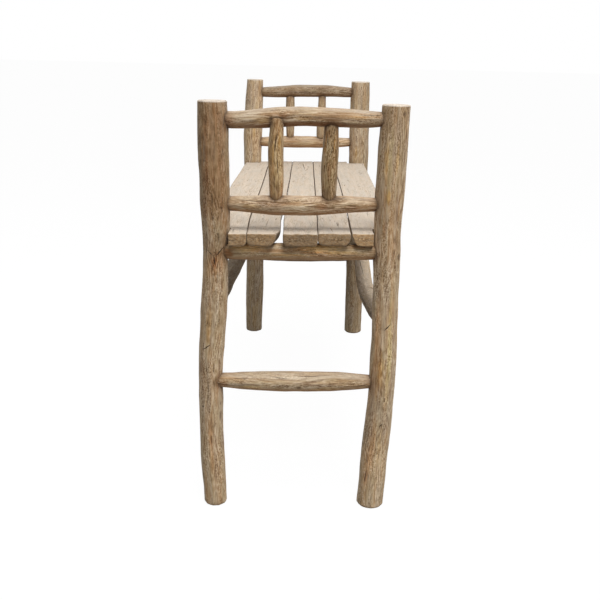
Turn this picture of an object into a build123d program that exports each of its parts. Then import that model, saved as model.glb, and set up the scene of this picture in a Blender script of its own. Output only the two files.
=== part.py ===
from build123d import *
import os
from dataclasses import dataclass
from math import cos, pi

# Rustic log bench: a plank seat between two log end frames, each with an open arm.
# X runs along the seat (right end at +X), Y across it (front at -Y), Z up from the floor.
# The origin is on the floor, under the middle of the bench. All sizes are in millimetres.
#
# Every log is peeled and crooked. It is lofted through round sections that follow its own
# shape: stations of (share of its length, first wander, second wander, swell), where the
# wanders shift its heart from the straight line between its ends and the swell is added to
# its thickness. Rails and stretchers are shaved to round tenons, coped to the logs that
# they meet, and sit in blind mortises. The planks are waney slabs with sawn faces.

os.makedirs("parts", exist_ok=True)

# ------------------------------------------------------------------ overall sizes
BEARER_HEIGHT = 462.5  # floor to the heart of the right seat bearer
LOWER_ARM_ABOVE_BEARER = 79.0  # heart to heart, and so on up the right end frame
ARM_ABOVE_LOWER_ARM = 136.0
POST_ABOVE_ARM = 26.5  # heart of the arm rail to the tops of the posts
STRETCHER_HEIGHT = 233.5  # floor to the heart of the right stretcher
BEARER_DROP = 10.5  # how much lower each rail is in the left end frame
LOWER_ARM_DROP = 1.0
ARM_DROP = 5.0
STRETCHER_DROP = 13.5
FRAME_SPACING = 1026.0  # between the two end frames, heart to heart
FRAME_WIDTH = 290.0  # between the two posts of a frame, heart to heart

LOWER_ARM_HEIGHT = BEARER_HEIGHT + LOWER_ARM_ABOVE_BEARER
ARM_HEIGHT = LOWER_ARM_HEIGHT + ARM_ABOVE_LOWER_ARM
HEIGHT = ARM_HEIGHT + POST_ABOVE_ARM

# ------------------------------------------------------------------ joints
TENON_BEYOND = 7.0  # a tenon's end lies this far past the heart of its post
END_GAP = 1.0  # glue space at the bottom of a mortise
TENON_FIT = 0.15  # radial clearance of a tenon in its mortise
COPE_GAP = 0.3  # between a coped shoulder and the log that it meets
TENON_ROOT = 6.0  # a tenon runs on this far into its own log, behind the shoulder
DRILL_CLEAR = 12.0  # a mortise is cut this far out past the face of its log

# ------------------------------------------------------------------ posts
TOP_ROUND = 2.5  # worn edge round a post's top
TOP_LENGTH = 4.0  # the straight end that the worn edge is on
FOOT_ROUND = 6.0
FOOT_LENGTH = 9.0
POST_SECTIONS = 16

RIGHT_FRONT_POST_D = 44.0
RIGHT_FRONT_POST_SHAPE = [
    (0.00, -4.5, 5.0, -4.0),
    (0.15, 2.0, 1.0, -2.5),
    (0.32, 4.5, -3.0, -2.5),
    (0.42, 2.5, -5.0, -0.5),
    (0.50, -1.0, -4.0, 1.0),
    (0.60, -4.5, -1.0, -2.0),
    (0.66, -5.0, 0.5, -2.5),
    (0.72, -5.0, 1.5, 2.0),
    (0.80, -3.5, 2.0, 5.0),
    (0.93, -1.5, 1.0, 6.0),
    (1.00, 0.5, 0.0, 4.0),
]
RIGHT_BACK_POST_D = 45.0
RIGHT_BACK_POST_SHAPE = [
    (0.00, -9.0, -4.0, 1.0),
    (0.12, -5.5, -2.0, 2.0),
    (0.25, -0.5, 1.5, 1.0),
    (0.40, 2.0, 4.0, -1.0),
    (0.55, 0.0, 3.5, -1.5),
    (0.70, -1.5, 1.0, 0.5),
    (0.85, 0.0, -1.0, 2.5),
    (1.00, 3.0, -2.0, 0.5),
]
LEFT_FRONT_POST_D = 48.0
LEFT_FRONT_POST_SHAPE = [
    (0.00, -4.5, 3.0, -1.5),
    (0.14, -5.0, -1.0, 0.0),
    (0.28, -5.0, -4.0, 0.5),
    (0.50, -0.5, -5.0, -1.5),
    (0.70, 4.0, -1.0, -1.5),
    (0.84, 3.0, 1.5, 1.5),
    (1.00, -1.0, 2.0, -5.0),
]
LEFT_BACK_POST_D = 50.0
LEFT_BACK_POST_SHAPE = [
    (0.00, 0.0, -5.0, -2.5),
    (0.13, -0.5, -2.0, -2.0),
    (0.30, -2.5, 2.0, -4.0),
    (0.50, -3.0, 4.0, -2.0),
    (0.72, -3.5, 2.0, 2.5),
    (0.90, -5.5, -1.0, 2.5),
    (1.00, -5.5, -2.0, -0.5),
]

# ------------------------------------------------------------------ end-frame rails
# A rail's height is that of its heart at the middle of its frame. Every rail climbs a
# little from the front post to the back post.
RAIL_SECTIONS = 11
RAIL_RISE = 5.0

ARM_RAIL_D = 30.5
ARM_RAIL_TENON_D = 19.0
RIGHT_ARM_RAIL_SHAPE = [
    (0.00, 0.0, 0.0, -5.0),
    (0.12, -1.5, 0.0, -3.5),
    (0.30, 1.5, -0.5, 1.3),
    (0.50, 4.5, -1.0, 0.0),
    (0.70, 3.0, 0.0, -0.5),
    (0.85, 0.5, 0.5, -4.0),
    (1.00, 0.0, 0.0, -11.0),
]
LEFT_ARM_RAIL_SHAPE = [
    (0.00, 0.0, 0.0, -8.5),
    (0.20, 1.5, 1.0, -1.5),
    (0.45, 4.0, 2.0, 1.0),
    (0.70, 4.0, 1.0, -0.5),
    (0.88, 1.0, 0.0, -5.5),
    (1.00, 0.0, 0.0, -9.0),
]

LOWER_ARM_RAIL_D = 31.0
LOWER_ARM_RAIL_TENON_D = 18.0
RIGHT_LOWER_ARM_RAIL_SHAPE = [
    (0.00, 0.0, 0.0, -11.0),
    (0.13, 0.0, 0.0, -5.5),
    (0.32, -2.0, 0.5, 1.0),
    (0.50, -3.0, 1.0, 1.0),
    (0.75, -1.0, 0.0, -3.0),
    (1.00, 0.0, 0.0, -11.0),
]
LEFT_LOWER_ARM_RAIL_SHAPE = [
    (0.00, 0.0, 0.0, -10.0),
    (0.25, 0.5, -1.0, -1.0),
    (0.50, 0.0, -1.5, 0.0),
    (0.75, 0.0, 0.0, -3.0),
    (1.00, 0.0, 0.0, -12.0),
]

BEARER_D = 29.5
BEARER_TENON_D = 20.0
RIGHT_BEARER_SHAPE = [
    (0.00, 0.0, 0.0, -2.0),
    (0.25, 0.0, 0.5, 0.2),
    (0.60, 0.0, 0.0, 0.0),
    (0.85, 0.0, -0.5, -1.5),
    (1.00, 0.0, 0.0, -5.0),
]
LEFT_BEARER_SHAPE = [
    (0.00, 0.0, 0.0, -4.0),
    (0.30, 0.0, -1.0, 1.0),
    (0.70, 0.0, 0.5, 0.5),
    (1.00, 0.0, 0.0, -3.0),
]

STRETCHER_D = 33.0
STRETCHER_TENON_D = 18.0
RIGHT_STRETCHER_SHAPE = [
    (0.00, 0.0, 0.0, -12.0),
    (0.10, -0.5, 0.0, -7.0),
    (0.28, -1.5, 0.5, 0.0),
    (0.50, -1.5, 0.5, 1.0),
    (0.75, -0.5, 0.0, -1.5),
    (1.00, 0.5, 0.0, -13.0),
]
LEFT_STRETCHER_SHAPE = [
    (0.00, 0.0, 0.0, -10.0),
    (0.30, 1.0, -1.5, -0.5),
    (0.65, 1.5, -1.0, -1.0),
    (1.00, 0.0, 0.0, -12.0),
]

# ------------------------------------------------------------------ side stretchers
SIDE_STRETCHER_D = 34.0
SIDE_STRETCHER_TENON_D = 20.0
SIDE_SECTIONS = 14
FRONT_SIDE_HEIGHTS = (345.0, 355.0)  # at the left post and at the right post
FRONT_SIDE_SHAPE = [
    (0.00, 0.0, 0.0, -7.0),
    (0.12, -3.0, 0.0, -1.0),
    (0.36, -11.0, 2.0, 2.0),
    (0.55, -14.0, 1.0, 1.0),
    (0.80, -2.0, 0.0, -2.0),
    (1.00, 0.0, 0.0, -7.0),
]
BACK_SIDE_HEIGHTS = (341.0, 341.0)
BACK_SIDE_SHAPE = [
    (0.00, 0.0, 0.0, -8.0),
    (0.18, -9.0, -1.0, -3.0),
    (0.41, -30.0, -6.0, -1.0),
    (0.62, -42.0, -8.0, 0.0),
    (0.83, -26.0, -2.0, -1.0),
    (1.00, 0.0, 0.0, -7.0),
]

# ------------------------------------------------------------------ spindles
SPINDLE_D = 25.0
SPINDLE_TENON_D = 14.0
SPINDLE_TENON_LENGTH = 13.0  # from the face of the rail into it
SPINDLE_SECTIONS = 8
# One row for each spindle: its place across the frame, how far it stands out from the
# hearts of its rails towards +X, and its shape.
RIGHT_FRONT_SPINDLE = (-42.0, 2.5)
RIGHT_FRONT_SPINDLE_SHAPE = [
    (0.00, 0.0, 0.0, -5.0),
    (0.25, 1.0, 0.0, -1.0),
    (0.60, -0.5, 1.0, 0.0),
    (0.85, 0.5, 3.0, -1.5),
    (1.00, 0.0, 4.5, -3.5),
]
RIGHT_BACK_SPINDLE = (45.5, 0.0)
RIGHT_BACK_SPINDLE_SHAPE = [
    (0.00, 0.0, 0.0, -2.5),
    (0.35, -1.5, 0.5, 1.0),
    (0.65, 0.0, 0.0, 0.0),
    (1.00, 0.5, 0.0, -4.0),
]
LEFT_FRONT_SPINDLE = (-47.5, 0.0)
LEFT_FRONT_SPINDLE_SHAPE = [
    (0.00, 0.5, 0.0, -6.5),
    (0.30, 0.0, -1.0, -3.0),
    (0.70, -0.5, 0.0, -1.5),
    (1.00, -1.0, 0.0, -4.0),
]
LEFT_BACK_SPINDLE = (37.0, 0.0)
LEFT_BACK_SPINDLE_SHAPE = [
    (0.00, 0.0, 0.0, -3.0),
    (0.40, -0.5, 1.0, -0.5),
    (0.75, 0.5, 0.0, -3.5),
    (1.00, 0.0, 0.0, -5.5),
]

# ------------------------------------------------------------------ seat planks
PLANK_THICKNESS = 21.5
BEARER_FLAT = 2.5  # depth of the flat on top of a bearer that the planks lie on
NOTCH_GAP = 1.5  # between a corner notch and the post behind it
TONGUE_GAP = 2.5  # between a post and the tongue of plank that passes it
NOTCH_REACH = 120.0  # a notch is cut this far each way from its inner corner
PLANK_STATIONS = (380.0, 190.0, 0.0)  # places along the seat where the planks are measured
# One row for each plank, from front to back. Each edge is given across the seat at the
# right end, at the three stations and at the left end. The overhangs are past the hearts
# of the frames at the right and the left end. The wanes are the bark edges below the front
# and the back edge: how far each runs in, how far down the plank's side it starts, and how
# much it slopes, from round to slanting.
PLANKS = {
    "seat_plank_1": {
        "front": (-162.5, -163.0, -163.5, -163.5, -163.0),
        "back": (-89.3, -93.6, -94.1, -94.5, -99.5),
        "overhangs": (29.0, 6.0),
        "wanes": ((7.0, 12.0, 0.0), (11.0, 13.0, 0.0)),
    },
    "seat_plank_2": {
        "front": (-88.3, -92.6, -93.1, -93.5, -98.5),
        "back": (-34.2, -37.6, -35.2, -35.0, -36.1),
        "overhangs": (27.0, 11.0),
        "wanes": ((14.0, 14.0, 0.0), (14.0, 5.0, 0.2)),
    },
    "seat_plank_3": {
        "front": (-29.4, -32.4, -34.2, -34.0, -35.1),
        "back": (27.0, 26.1, 24.8, 23.7, 20.2),
        "overhangs": (27.0, 12.0),
        "wanes": ((8.0, 11.5, 0.0), (9.0, 13.0, 0.0)),
    },
    "seat_plank_4": {
        "front": (28.0, 27.1, 25.8, 24.7, 21.2),
        "back": (80.7, 81.6, 82.1, 80.1, 76.0),
        "overhangs": (23.0, 12.0),
        "wanes": ((21.0, 11.5, 0.1), (13.0, 4.0, 0.1)),
    },
    "seat_plank_5": {
        "front": (83.2, 83.0, 83.1, 81.1, 77.0),
        "back": (157.5, 157.5, 157.5, 157.5, 158.5),
        "overhangs": (22.0, 10.0),
        "wanes": ((14.0, 3.0, 0.35), (6.0, 12.0, 0.0)),
    },
}
BROKEN_CORNER = "seat_plank_2"  # the back corner of its right end is gone
BROKEN_ALONG = 40.0
BROKEN_ACROSS = 7.5
CUT_BEYOND = 3.0  # how far the cutter of that corner reaches past the plank

# ------------------------------------------------------------------ screws
SCREW_D = 4.0
SCREW_HEAD_D = 8.0
SCREW_HEAD_DEPTH = 3.0
SCREW_FIT = 0.15  # radial clearance round a shank and round a head
SEAT_SCREW_SINK = 2.0  # the head lies this far inside the bearer's underside
SEAT_SCREW_BITE = 14.0  # into the plank
BEARER_SCREW_SINK = 3.0  # the head lies this far inside the post's outer face
BEARER_SCREW_BITE = 24.0  # into the end of the bearer's tenon
SCREW_TIP_GAP = 1.0  # empty end of a screw's hole

UP = Vector(0, 0, 1)
ALONG = Vector(1, 0, 0)
ACROSS = Vector(0, 1, 0)
RIGHT_X = FRAME_SPACING / 2
LEFT_X = -FRAME_SPACING / 2


# ------------------------------------------------------------------ logs
def section_shares(count):
    """The shares of a log's length where its sections are, closer together near its ends."""
    even = [i / (count - 1) for i in range(count)]
    return [share / 2 + (1 - cos(pi * share)) / 4 for share in even]


def smooth_values(stations, share):
    """The values of a list of stations at a share of the length, on a smooth curve through them."""
    last = len(stations) - 1
    k = max(i for i in range(last) if stations[i][0] <= share or i == 0)
    before, this, following, after = (stations[min(max(k + i, 0), last)] for i in (-1, 0, 1, 2))
    span = following[0] - this[0]
    u = (share - this[0]) / span

    def value(i):
        rise_in = (following[i] - before[i]) / (following[0] - before[0]) * span
        rise_out = (after[i] - this[i]) / (after[0] - this[0]) * span
        return (
            (2 * u**3 - 3 * u**2 + 1) * this[i]
            + (u**3 - 2 * u**2 + u) * rise_in
            + (3 * u**2 - 2 * u**3) * following[i]
            + (u**3 - u**2) * rise_out
        )

    return [value(i) for i in (1, 2, 3)]


@dataclass
class Log:
    """A crooked log between two points. The two wanders of its shape go along first and second."""

    start: Vector
    end: Vector
    first: Vector
    second: Vector
    thickness: float
    shape: list
    sections: int

    def direction(self):
        return (self.end - self.start).normalized()

    def heart(self, share):
        out, side, _ = smooth_values(self.shape, share)
        return self.start + (self.end - self.start) * share + self.first * out + self.second * side

    def radius(self, share):
        return (self.thickness + smooth_values(self.shape, share)[2]) / 2

    def blank(self, grow=0.0):
        """The log before any joint is cut, or a copy that is thicker by grow all round."""
        with BuildPart() as blank:
            for share in section_shares(self.sections):
                across_log = Plane(self.heart(share), x_dir=self.second, z_dir=self.direction())
                with BuildSketch(across_log):
                    Circle(self.radius(share) + grow)
            loft()
        return blank.part

    def at_height(self, height):
        """The share of a post's length at a height above the floor."""
        return (height - self.start.Z) / (self.end.Z - self.start.Z)

    def heart_at(self, height):
        return self.heart(self.at_height(height))

    def radius_at(self, height):
        return self.radius(self.at_height(height))


def post_log(frame_x, side, thickness, shape):
    """A post between its straight ends. side is -1 at the front and +1 at the back.

    Its wanders go outwards and along X.
    """
    line = Vector(frame_x, side * FRAME_WIDTH / 2, 0)
    foot, top = line + UP * FOOT_LENGTH, line + UP * (HEIGHT - TOP_LENGTH)
    return Log(foot, top, ACROSS * side, ALONG, thickness, shape, POST_SECTIONS)


def cylinder_between(start, end, radius):
    """A plain round bar, for tenons, mortises and shanks."""
    direction = (end - start).normalized()
    with BuildPart() as bar:
        with BuildSketch(Plane(start, z_dir=direction)):
            Circle(radius)
        extrude(amount=(end - start).length)
    return bar.part


def save(part, name):
    """Labels a finished piece and writes its STEP file."""
    part.label = name
    export_step(part, f"parts/{name}.step")


POSTS = {
    "right_front_post": post_log(RIGHT_X, -1, RIGHT_FRONT_POST_D, RIGHT_FRONT_POST_SHAPE),
    "right_back_post": post_log(RIGHT_X, 1, RIGHT_BACK_POST_D, RIGHT_BACK_POST_SHAPE),
    "left_front_post": post_log(LEFT_X, -1, LEFT_FRONT_POST_D, LEFT_FRONT_POST_SHAPE),
    "left_back_post": post_log(LEFT_X, 1, LEFT_BACK_POST_D, LEFT_BACK_POST_SHAPE),
}


# ------------------------------------------------------------------ rails between two posts
@dataclass
class Rail:
    """A log with a tenon at each end, between two posts."""

    log: Log
    hosts: tuple
    tenon_d: float

    def tenon_lines(self):
        """For each end: the post, the tenon's tip, and the point where its root is in the rail."""
        d = self.log.direction()
        lines = []
        for host, point, inward in (
            (self.hosts[0], self.log.start, d),
            (self.hosts[1], self.log.end, d * -1),
        ):
            root = POSTS[host].radius_at(point.Z) + TENON_ROOT
            lines.append((host, point - inward * TENON_BEYOND, point + inward * root))
        return lines


def rail_between(front, back, heights, tenon_d, wander, thickness, shape, sections):
    start, end = POSTS[front].heart_at(heights[0]), POSTS[back].heart_at(heights[1])
    log = Log(start, end, UP, wander, thickness, shape, sections)
    return Rail(log, (front, back), tenon_d)


def frame_rail(side, height, tenon_d, thickness, shape):
    heights = (height - RAIL_RISE / 2, height + RAIL_RISE / 2)
    front, back = f"{side}_front_post", f"{side}_back_post"
    return rail_between(front, back, heights, tenon_d, ALONG, thickness, shape, RAIL_SECTIONS)


def frame_rails(name, height, drop, tenon_d, thickness, right_shape, left_shape):
    """The two rails of one kind, in the right and in the left end frame."""
    return {
        f"right_{name}": frame_rail("right", height, tenon_d, thickness, right_shape),
        f"left_{name}": frame_rail("left", height - drop, tenon_d, thickness, left_shape),
    }


RAILS = {
    **frame_rails(
        "arm_rail",
        ARM_HEIGHT,
        ARM_DROP,
        ARM_RAIL_TENON_D,
        ARM_RAIL_D,
        RIGHT_ARM_RAIL_SHAPE,
        LEFT_ARM_RAIL_SHAPE,
    ),
    **frame_rails(
        "lower_arm_rail",
        LOWER_ARM_HEIGHT,
        LOWER_ARM_DROP,
        LOWER_ARM_RAIL_TENON_D,
        LOWER_ARM_RAIL_D,
        RIGHT_LOWER_ARM_RAIL_SHAPE,
        LEFT_LOWER_ARM_RAIL_SHAPE,
    ),
    **frame_rails(
        "seat_bearer",
        BEARER_HEIGHT,
        BEARER_DROP,
        BEARER_TENON_D,
        BEARER_D,
        RIGHT_BEARER_SHAPE,
        LEFT_BEARER_SHAPE,
    ),
    **frame_rails(
        "stretcher",
        STRETCHER_HEIGHT,
        STRETCHER_DROP,
        STRETCHER_TENON_D,
        STRETCHER_D,
        RIGHT_STRETCHER_SHAPE,
        LEFT_STRETCHER_SHAPE,
    ),
    "front_side_stretcher": rail_between(
        "left_front_post",
        "right_front_post",
        FRONT_SIDE_HEIGHTS,
        SIDE_STRETCHER_TENON_D,
        ACROSS,
        SIDE_STRETCHER_D,
        FRONT_SIDE_SHAPE,
        SIDE_SECTIONS,
    ),
    "back_side_stretcher": rail_between(
        "left_back_post",
        "right_back_post",
        BACK_SIDE_HEIGHTS,
        SIDE_STRETCHER_TENON_D,
        ACROSS,
        SIDE_STRETCHER_D,
        BACK_SIDE_SHAPE,
        SIDE_SECTIONS,
    ),
}


# ------------------------------------------------------------------ spindles under the arms
def rail_share_across(rail, y):
    """The share of a frame rail's length at a place across the frame."""
    log = RAILS[rail].log
    return (y - log.start.Y) / (log.end.Y - log.start.Y)


def spindle_log(side, place, shape):
    """A spindle from the heart of the lower arm rail to the heart of the arm rail."""
    across, stand_out = place
    low, high = (
        RAILS[f"{side}_{rail}"].log.heart(rail_share_across(f"{side}_{rail}", across)) + ALONG * stand_out
        for rail in ("lower_arm_rail", "arm_rail")
    )
    return Log(low, high, ACROSS, ALONG, SPINDLE_D, shape, SPINDLE_SECTIONS)


SPINDLES = {
    "right_front_spindle": spindle_log("right", RIGHT_FRONT_SPINDLE, RIGHT_FRONT_SPINDLE_SHAPE),
    "right_back_spindle": spindle_log("right", RIGHT_BACK_SPINDLE, RIGHT_BACK_SPINDLE_SHAPE),
    "left_front_spindle": spindle_log("left", LEFT_FRONT_SPINDLE, LEFT_FRONT_SPINDLE_SHAPE),
    "left_back_spindle": spindle_log("left", LEFT_BACK_SPINDLE, LEFT_BACK_SPINDLE_SHAPE),
}


def spindle_tenon(log, rail, at_head):
    """The tip and the root of a spindle's tenon, at its head in the arm rail or at its foot."""
    inward = log.direction() * (-1 if at_head else 1)
    heart = log.heart(1.0 if at_head else 0.0)
    rail_log = RAILS[rail].log
    face = rail_log.radius(rail_share_across(rail, heart.Y))
    return heart + inward * (face - SPINDLE_TENON_LENGTH), heart + inward * (face + TENON_ROOT)


# ------------------------------------------------------------------ the seat's sawn underside
def bearer_top(rail):
    """The middle of the flat that is planed on top of a bearer."""
    log = RAILS[rail].log
    return log.heart(0.5) + UP * (log.radius(0.5) - BEARER_FLAT)


seat_along = (bearer_top("right_seat_bearer") - bearer_top("left_seat_bearer")).normalized()
seat_across = Vector(0, FRAME_WIDTH, RAIL_RISE).normalized()
seat_middle = (bearer_top("right_seat_bearer") + bearer_top("left_seat_bearer")) * 0.5
underside = Plane(seat_middle, x_dir=seat_along, z_dir=seat_along.cross(seat_across))
to_frame = FRAME_SPACING / 2  # from the middle of the seat to a frame, along the planks


def seat_point(along, across, above=0.0):
    """A point given by its place along and across the seat, above the planks' underside."""
    return underside.from_local_coords(Vector(along, across, above))


NOTCHED = {"seat_plank_1": "front", "seat_plank_5": "back"}


def notch_corner(name, end):
    """The inner corner of the notch that clears a post: its places along and across the seat."""
    post = POSTS[f"{'right' if end > 0 else 'left'}_{NOTCHED[name]}_post"]
    inward = 1 if NOTCHED[name] == "front" else -1
    foot = seat_point(end * to_frame, 0).Z
    levels = [(post.heart_at(z), post.radius_at(z)) for z in (foot, foot + PLANK_THICKNESS)]
    shoulder = min(end * heart.X - radius for heart, radius in levels) - NOTCH_GAP
    tongue = max(inward * heart.Y + radius for heart, radius in levels) + TONGUE_GAP
    return end * shoulder, inward * tongue


# ------------------------------------------------------------------ screws
def underside_middle(name, end):
    """The middle of a plank's flat underside. end is +1 at the right and -1 at the left."""
    shape = PLANKS[name]
    pick = 0 if end > 0 else -1
    front_foot = shape["front"][pick] + shape["wanes"][0][0]
    back_foot = shape["back"][pick] - shape["wanes"][1][0]
    if NOTCHED.get(name) == "front":
        front_foot = notch_corner(name, end)[1]
    if NOTCHED.get(name) == "back":
        back_foot = notch_corner(name, end)[1]
    return (front_foot + back_foot) / 2


def seat_screw_line(name, end):
    """The head and the tip of the screw that holds a plank to a bearer, from below."""
    bearer = f"{'right' if end > 0 else 'left'}_seat_bearer"
    log = RAILS[bearer].log
    across = underside_middle(name, end)
    heart = log.heart(rail_share_across(bearer, across))
    radius = log.radius(rail_share_across(bearer, across))
    up = underside.z_dir
    return heart - up * (radius - SEAT_SCREW_SINK), heart + up * (radius - BEARER_FLAT + SEAT_SCREW_BITE)


def bearer_screw_line(end, side):
    """The head and the tip of the screw through a post into the end of a bearer."""
    rail = RAILS[f"{end}_seat_bearer"]
    point = rail.log.start if side == "front" else rail.log.end
    inward = rail.log.direction() * (1 if side == "front" else -1)
    post = POSTS[f"{end}_{side}_post"]
    head = point - inward * (post.radius_at(point.Z) - BEARER_SCREW_SINK)
    return head, point - inward * (TENON_BEYOND - BEARER_SCREW_BITE)


SEAT_SCREWS = {(name, end): seat_screw_line(name, end) for name in PLANKS for end in (1, -1)}
BEARER_SCREWS = {
    (end, side): bearer_screw_line(end, side) for end in ("right", "left") for side in ("front", "back")
}


def screw(head, tip):
    """A countersunk screw from the face of its head to its tip."""
    direction = (tip - head).normalized()
    with BuildPart() as made:
        with BuildSketch(Plane(head, z_dir=direction)):
            Circle(SCREW_HEAD_D / 2)
        with BuildSketch(Plane(head + direction * SCREW_HEAD_DEPTH, z_dir=direction)):
            Circle(SCREW_D / 2)
        loft()
        with BuildSketch(Plane(head + direction * SCREW_HEAD_DEPTH, z_dir=direction)):
            Circle(SCREW_D / 2)
        extrude(amount=(tip - head).length - SCREW_HEAD_DEPTH)
        chamfer(made.faces().sort_by(Axis(head, direction))[-1].edges(), SCREW_D / 3)
    return made.part


def screw_hole(head, tip):
    """The hole for a screw: a bore for its head from outside, then one for its shank."""
    direction = (tip - head).normalized()
    seat = head + direction * SCREW_HEAD_DEPTH
    with BuildPart() as hole:
        add(cylinder_between(head - direction * DRILL_CLEAR, seat, SCREW_HEAD_D / 2 + SCREW_FIT))
        add(cylinder_between(head, tip + direction * SCREW_TIP_GAP, SCREW_D / 2 + SCREW_FIT))
    return hole.part


# ------------------------------------------------------------------ making the posts
for post_name, log in POSTS.items():
    with BuildPart() as post:
        add(log.blank())
        for share, outward, length, rounding in (
            (0.0, UP * -1, FOOT_LENGTH, FOOT_ROUND),
            (1.0, UP, TOP_LENGTH, TOP_ROUND),
        ):
            with BuildSketch(Plane(log.heart(share), x_dir=log.second, z_dir=outward)):
                Circle(log.radius(share))
            extrude(amount=length)
            end_face = post.faces().sort_by(Axis(log.heart(share), outward))[-1]
            fillet(end_face.edges(), rounding)
        for rail in RAILS.values():
            for host, tip, root in rail.tenon_lines():
                if host == post_name:
                    direction = (root - tip).normalized()
                    mouth = root + direction * DRILL_CLEAR
                    bottom = tip - direction * END_GAP
                    mortise = cylinder_between(bottom, mouth, rail.tenon_d / 2 + TENON_FIT)
                    add(mortise, mode=Mode.SUBTRACT)
        for (end, side), (head, tip) in BEARER_SCREWS.items():
            if post_name == f"{end}_{side}_post":
                add(screw_hole(head, tip), mode=Mode.SUBTRACT)
    save(post.part, post_name)

# ------------------------------------------------------------------ making the rails
GROWN_POSTS = {name: log.blank(COPE_GAP) for name, log in POSTS.items()}

for rail_name, rail in RAILS.items():
    with BuildPart() as made_rail:
        add(rail.log.blank())
        for host in rail.hosts:
            add(GROWN_POSTS[host], mode=Mode.SUBTRACT)
        for host, tip, root in rail.tenon_lines():
            add(cylinder_between(tip, root, rail.tenon_d / 2))
        for spindle_name, log in SPINDLES.items():
            at_head = rail_name.endswith("arm_rail") and not rail_name.endswith("lower_arm_rail")
            in_frame = rail_name.split("_")[0] == spindle_name.split("_")[0]
            if rail_name.endswith("arm_rail") and in_frame:
                tip, root = spindle_tenon(log, rail_name, at_head)
                inward = (root - tip).normalized()
                socket = cylinder_between(
                    tip - inward * END_GAP, root + inward * DRILL_CLEAR, SPINDLE_TENON_D / 2 + TENON_FIT
                )
                add(socket, mode=Mode.SUBTRACT)
        if rail_name.endswith("seat_bearer"):
            end = 1 if rail_name.startswith("right") else -1
            with BuildSketch(underside):
                with Locations((end * to_frame, 0)):
                    Rectangle(2 * BEARER_D, FRAME_WIDTH)
            extrude(amount=BEARER_D, mode=Mode.SUBTRACT)
            for name in PLANKS:
                add(screw_hole(*SEAT_SCREWS[name, end]), mode=Mode.SUBTRACT)
            for side in ("front", "back"):
                add(screw_hole(*BEARER_SCREWS[rail_name.split("_")[0], side]), mode=Mode.SUBTRACT)
    save(made_rail.part, rail_name)

# ------------------------------------------------------------------ making the spindles
for spindle_name, log in SPINDLES.items():
    side = spindle_name.split("_")[0]
    with BuildPart() as spindle:
        add(log.blank())
        for rail_name in (f"{side}_arm_rail", f"{side}_lower_arm_rail"):
            add(RAILS[rail_name].log.blank(COPE_GAP), mode=Mode.SUBTRACT)
        for rail_name, at_head in ((f"{side}_arm_rail", True), (f"{side}_lower_arm_rail", False)):
            tip, root = spindle_tenon(log, rail_name, at_head)
            add(cylinder_between(tip, root, SPINDLE_TENON_D / 2))
    save(spindle.part, spindle_name)

# ------------------------------------------------------------------ making the planks
for plank_name, shape in PLANKS.items():
    (front_wane, front_start, front_slope), (back_wane, back_start, back_slope) = shape["wanes"]
    right_end = to_frame + shape["overhangs"][0]
    left_end = -to_frame - shape["overhangs"][1]
    places = (right_end, *PLANK_STATIONS, left_end)
    with BuildPart() as plank:
        for along, front_edge, back_edge in zip(places, shape["front"], shape["back"]):
            section = Plane(seat_point(along, 0), x_dir=underside.y_dir, z_dir=underside.x_dir)
            with BuildSketch(section):
                with BuildLine():
                    top = Line((back_edge, PLANK_THICKNESS), (front_edge, PLANK_THICKNESS))
                    front = Line(top @ 1, (front_edge, PLANK_THICKNESS - front_start))
                    front_turn = (front_edge + front_wane * front_slope, 0)
                    front_foot = (front_edge + front_wane, 0)
                    Bezier(front @ 1, front_turn, front_foot)
                    back_foot = (back_edge - back_wane, 0)
                    Line(front_foot, back_foot)
                    back_turn = (back_edge - back_wane * back_slope, 0)
                    curve = Bezier(back_foot, back_turn, (back_edge, PLANK_THICKNESS - back_start))
                    Line(curve @ 1, top @ 0)
                make_face()
        loft(ruled=True)
        for end in (1, -1):
            add(screw_hole(*SEAT_SCREWS[plank_name, end]), mode=Mode.SUBTRACT)
            if plank_name in NOTCHED:
                shoulder, tongue = notch_corner(plank_name, end)
                outward = -1 if NOTCHED[plank_name] == "front" else 1
                with BuildSketch(underside):
                    with Locations((shoulder + end * NOTCH_REACH / 2, tongue + outward * NOTCH_REACH / 2)):
                        Rectangle(NOTCH_REACH, NOTCH_REACH)
                extrude(amount=PLANK_THICKNESS, mode=Mode.SUBTRACT)
        if plank_name == BROKEN_CORNER:
            edge = shape["back"][0]
            with BuildSketch(underside):
                with BuildLine():
                    Polyline(
                        (right_end - BROKEN_ALONG, edge),
                        (right_end, edge - BROKEN_ACROSS),
                        (right_end + CUT_BEYOND, edge - BROKEN_ACROSS),
                        (right_end + CUT_BEYOND, edge + CUT_BEYOND),
                        (right_end - BROKEN_ALONG, edge + CUT_BEYOND),
                        close=True,
                    )
                make_face()
            extrude(amount=PLANK_THICKNESS, mode=Mode.SUBTRACT)
    save(plank.part, plank_name)

# ------------------------------------------------------------------ making the screws
with BuildPart() as seat_screws:
    for head, tip in SEAT_SCREWS.values():
        add(screw(head, tip))
save(seat_screws.part, "seat_screws")

with BuildPart() as bearer_screws:
    for head, tip in BEARER_SCREWS.values():
        add(screw(head, tip))
save(bearer_screws.part, "bearer_screws")
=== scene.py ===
"""Dresses the rustic log bench: crooked peeled logs, waney seat planks and a plain stage."""

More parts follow.
